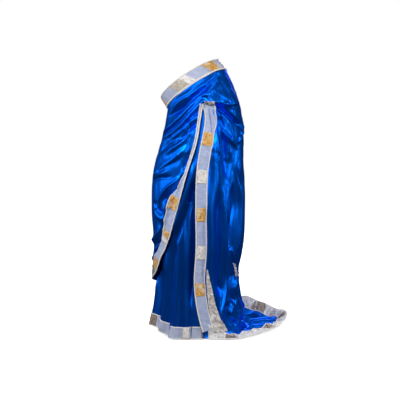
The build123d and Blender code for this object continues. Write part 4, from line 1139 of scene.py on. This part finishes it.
def build_waistband():
    """The waistband on its ring, with patches, pipings and the stay inside it."""
    heights = np.linspace(-0.001, 0.051, BAND_ROWS)
    share = np.linspace(0, 1, 300)[:, None]

    def slot_at(x):
        """Angle round the ring at which a place x lies, at each height."""
        return np.arccos((x - WAIST[0] - WAIST_N[0] * heights) / (WAIST_HALF_U * WAIST_U[0]))

    first, last = slot_at(ZIP_X - ZIP_SLOT / 2), slot_at(ZIP_X + ZIP_SLOT / 2) + 2 * math.pi
    angle = first + (last - first) * share
    high = heights + 0 * angle
    out = 0.0006 + 0 * angle
    points = on_ring(angle, high, out)
    normals = unit(on_ring(angle, high, out + 0.01) - points)
    run = run_along(points[:, MIDDLE])
    track = (heights - heights[0], points, normals, run)
    mid = np.degrees(angle[:, MIDDLE])
    whole = (0, run[-1])
    band = strips_object("waist_border_band", [strip(track, whole, (0.002, 0.050), 0.0004, 0.0016, 15, 0.0007,
                                                     71)], FINISH["pale"])
    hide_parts("waist_border")

    def patch(at, length=PATCH):
        """A patch whose middle is at an angle round the ring."""
        where = np.interp(at if at > mid[0] else at + 360, mid, run)
        return strip(track, (where - length / 2, where + length / 2), (0.0055, 0.0475), PATCH_LIFT,
                     PATCH_ARCH, 11, PATCH_CRINKLE, 75)

    cream = strips_object("waist_cream_cloth", [patch(258, SHORT_PATCH), patch(345), patch(125)],
                          FINISH["cream"])
    tan = strips_object("waist_tan_cloth", [patch(241), patch(154, SHORT_PATCH)], FINISH["tan"])
    gold = strips_object("waist_gold_cloth", [patch(a) for a in (306, 32, 178)], FINISH["gold"])
    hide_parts("waist_cream_patches")
    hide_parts("waist_gold_patches")
    seam, top = (cords_object(name, [line_on(track, whole, inset)], FINISH["piping"], "cream_piping", *sizes)
                 for name, inset, *sizes in (("waist_seam_cord", 0.0035, 0.0022, 0.0030),
                                             ("waist_top_cord", 0.0500, 0.0012, 0.0022)))
    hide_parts("waist_seam_piping")
    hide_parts("waist_top_piping")
    inside = (track[0], points - normals * STAY_IN, normals, run)
    stay = strips_object("waist_stay_tape", [strip(inside, whole, (0.004, 0.044), 0.0, 0.0, 7)],
                         FINISH["stay"], 0.0009)
    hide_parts("waist_stay")
    rides_skirt(band, cream, tan, gold, seam, top, stay)


def finish_fastenings():
    """Finishes for the zip, hook, bar and safety pin, which keep their CAD shapes."""
    brass = metal("zip_brass", (0.62, 0.43, 0.17), (0.34, 0.22, 0.09), 0.26)
    steel = metal("polished_steel_wire", (0.72, 0.73, 0.75), (0.48, 0.48, 0.50), 0.16)
    tape = tape_weave("zip_tape_weave", (0.035, 0.075, 0.30), (0.018, 0.04, 0.19))
    for name, piece in frame["nodes"].items():
        if name.startswith(("zip_", "waist_hook", "waist_bar", "pin_")):
            finish = tape if "tape" in name else steel if name.startswith(("pin_", "waist_")) else brass
            piece.data.materials.clear()
            piece.data.materials.append(finish)


FINISH = {
    "satin": satin("royal_satin", (0.001, 0.150, 0.86), (0.001, 0.110, 0.70), 0.88, 0.37),
    "lining": satin("royal_lining", (0.002, 0.120, 0.70), (0.001, 0.080, 0.52), 0.89, 0.38),
    "cotton": cotton("petticoat_cotton_weave", (0.36, 0.40, 0.52), (0.25, 0.29, 0.42)),
    # In the organza finishes the first colour is the creases' painted sheen and the second is their painted
    # shade.
    "organza": organza("silver_organza", (0.42, 0.47, 0.66), (0.30, 0.36, 0.56)),
    "pale": organza("pale_organza", (0.42, 0.46, 0.62), (0.32, 0.36, 0.50)),
    "crumpled": organza("crumpled_organza", (0.74, 0.74, 0.78), (0.40, 0.37, 0.37), 0.9),
    # A darker copy of the silver organza, as painted shade for the underside in the gap under the gather.
    "grey": organza("underside_organza_painted_shade", (0.30, 0.33, 0.46), (0.18, 0.20, 0.30)),
    "gold": brocade("gold_brocade_cloth", (0.60, 0.29, 0.055), (0.78, 0.50, 0.18), (0.36, 0.17, 0.04),
                    (0.72, 0.66, 0.56)),
    "cream": brocade("cream_brocade_cloth", (0.66, 0.64, 0.62), (0.88, 0.87, 0.86), (0.44, 0.37, 0.30)),
    "tan": brocade("tan_brocade_cloth", (0.42, 0.37, 0.31), (0.60, 0.55, 0.48), (0.28, 0.23, 0.18)),
    "bronze": brocade("bronze_brocade_cloth", (0.22, 0.17, 0.14), (0.38, 0.31, 0.26), (0.09, 0.06, 0.05)),
    "return": organza("return_cloth", (0.78, 0.77, 0.77), (0.36, 0.31, 0.28), 1.0),
    # Dark brown brocade that paints the shadow band at the fold over the cascade's top.
    "fold": brocade("fold_brocade_painted_shadow", (0.30, 0.25, 0.24), (0.60, 0.55, 0.52), (0.10, 0.07, 0.07)),
    "piping": ribbed("cream_cord", (0.90, 0.87, 0.82), (0.74, 0.70, 0.64)),
    "stay": ribbed("stay_ribbon", (0.03, 0.05, 0.17), (0.015, 0.025, 0.10)),
}
build_wrap()
build_underskirt()
build_waistband()
finish_fastenings()


# ---- Floor, light and camera ----
def floor():
    """A wide pale floor."""
    shape = bmesh.new()
    bmesh.ops.create_grid(shape, x_segments=1, y_segments=1, size=30)
    mesh = bpy.data.meshes.new("floor")
    shape.to_mesh(mesh)
    shape.free()
    piece = placed("floor", mesh)
    piece.location = (0, 0, -0.002)
    f = Finish("pale_floor", Roughness=0.9, Emission_Color=(1, 1, 1, 1), Emission_Strength=0.72)
    f.paint(f.colours(f.noise(f.place((0.6, 0.6, 0.6), 0, "object")), (0.93, 0.93, 0.93), (0.97, 0.97, 0.97)))
    mesh.materials.append(f.material)
    piece.visible_glossy = False
    piece.visible_diffuse = False


DIFFUSE_SKY = 0.34
GLOSS_SKY = 0.03


def sky():
    """White to the camera and dim to the cloth, so that the satin keeps its dark folds."""
    world = bpy.data.worlds.new("studio")
    bpy.context.scene.world = world
    world.use_nodes = True
    tree = world.node_tree
    back = tree.nodes["Background"]
    back.inputs["Color"].default_value = (1.0, 1.0, 1.0, 1)
    path = tree.nodes.new("ShaderNodeLightPath")
    seen = tree.nodes.new("ShaderNodeMapRange")
    seen.inputs["To Min"].default_value, seen.inputs["To Max"].default_value = DIFFUSE_SKY, 1.0
    tree.links.new(path.outputs["Is Camera Ray"], seen.inputs["Value"])
    gloss = tree.nodes.new("ShaderNodeMapRange")
    gloss.inputs["To Min"].default_value, gloss.inputs["To Max"].default_value = 1.0, GLOSS_SKY
    tree.links.new(path.outputs["Is Glossy Ray"], gloss.inputs["Value"])
    both = tree.nodes.new("ShaderNodeMath")
    both.operation = "MULTIPLY"
    tree.links.new(seen.outputs["Result"], both.inputs[0])
    tree.links.new(gloss.outputs["Result"], both.inputs[1])
    tree.links.new(both.outputs["Value"], back.inputs["Strength"])
    bpy.context.scene.view_settings.view_transform = "Standard"


def softbox(name, place, aim, size, power):
    """A rectangular soft light."""
    lamp = bpy.data.lights.new(name, "AREA")
    lamp.shape, lamp.size, lamp.size_y = "RECTANGLE", *size
    lamp.energy = power
    piece = placed(name, lamp)
    piece.location = place
    piece.rotation_mode = "QUATERNION"
    piece.rotation_quaternion = (Vector(aim) - Vector(place)).to_track_quat("-Z", "Y")


def camera():
    """The camera, square to the draped hip and tilted a little down."""
    data = bpy.data.cameras.new("camera")
    data.lens, data.sensor_width = 81.43, 36.0
    piece = placed("camera", data)
    piece.location = (-0.084, -3.8, 0.95)
    piece.rotation_euler = (math.radians(83.96), 0, 0)
    bpy.context.scene.camera = piece


floor()
sky()
softbox("key", (-2.1, -1.9, 2.3), (-0.1, 0, 0.65), (0.7, 0.7), 52)
softbox("front_strip", (0.25, -3.0, 1.7), (-0.05, 0, 0.5), (0.26, 2.2), 36)
softbox("right_strip", (2.2, -0.9, 1.4), (-0.05, 0, 0.5), (0.28, 2.0), 24)
softbox("left_strip", (-2.4, 0.2, 1.2), (-0.1, 0, 0.5), (0.3, 2.0), 14)
softbox("top", (0.1, -0.3, 3.0), (0, 0, 0.3), (1.0, 1.0), 6)
softbox("back", (0.6, 2.6, 2.0), (0, 0, 0.6), (1.2, 1.0), 45)
camera()
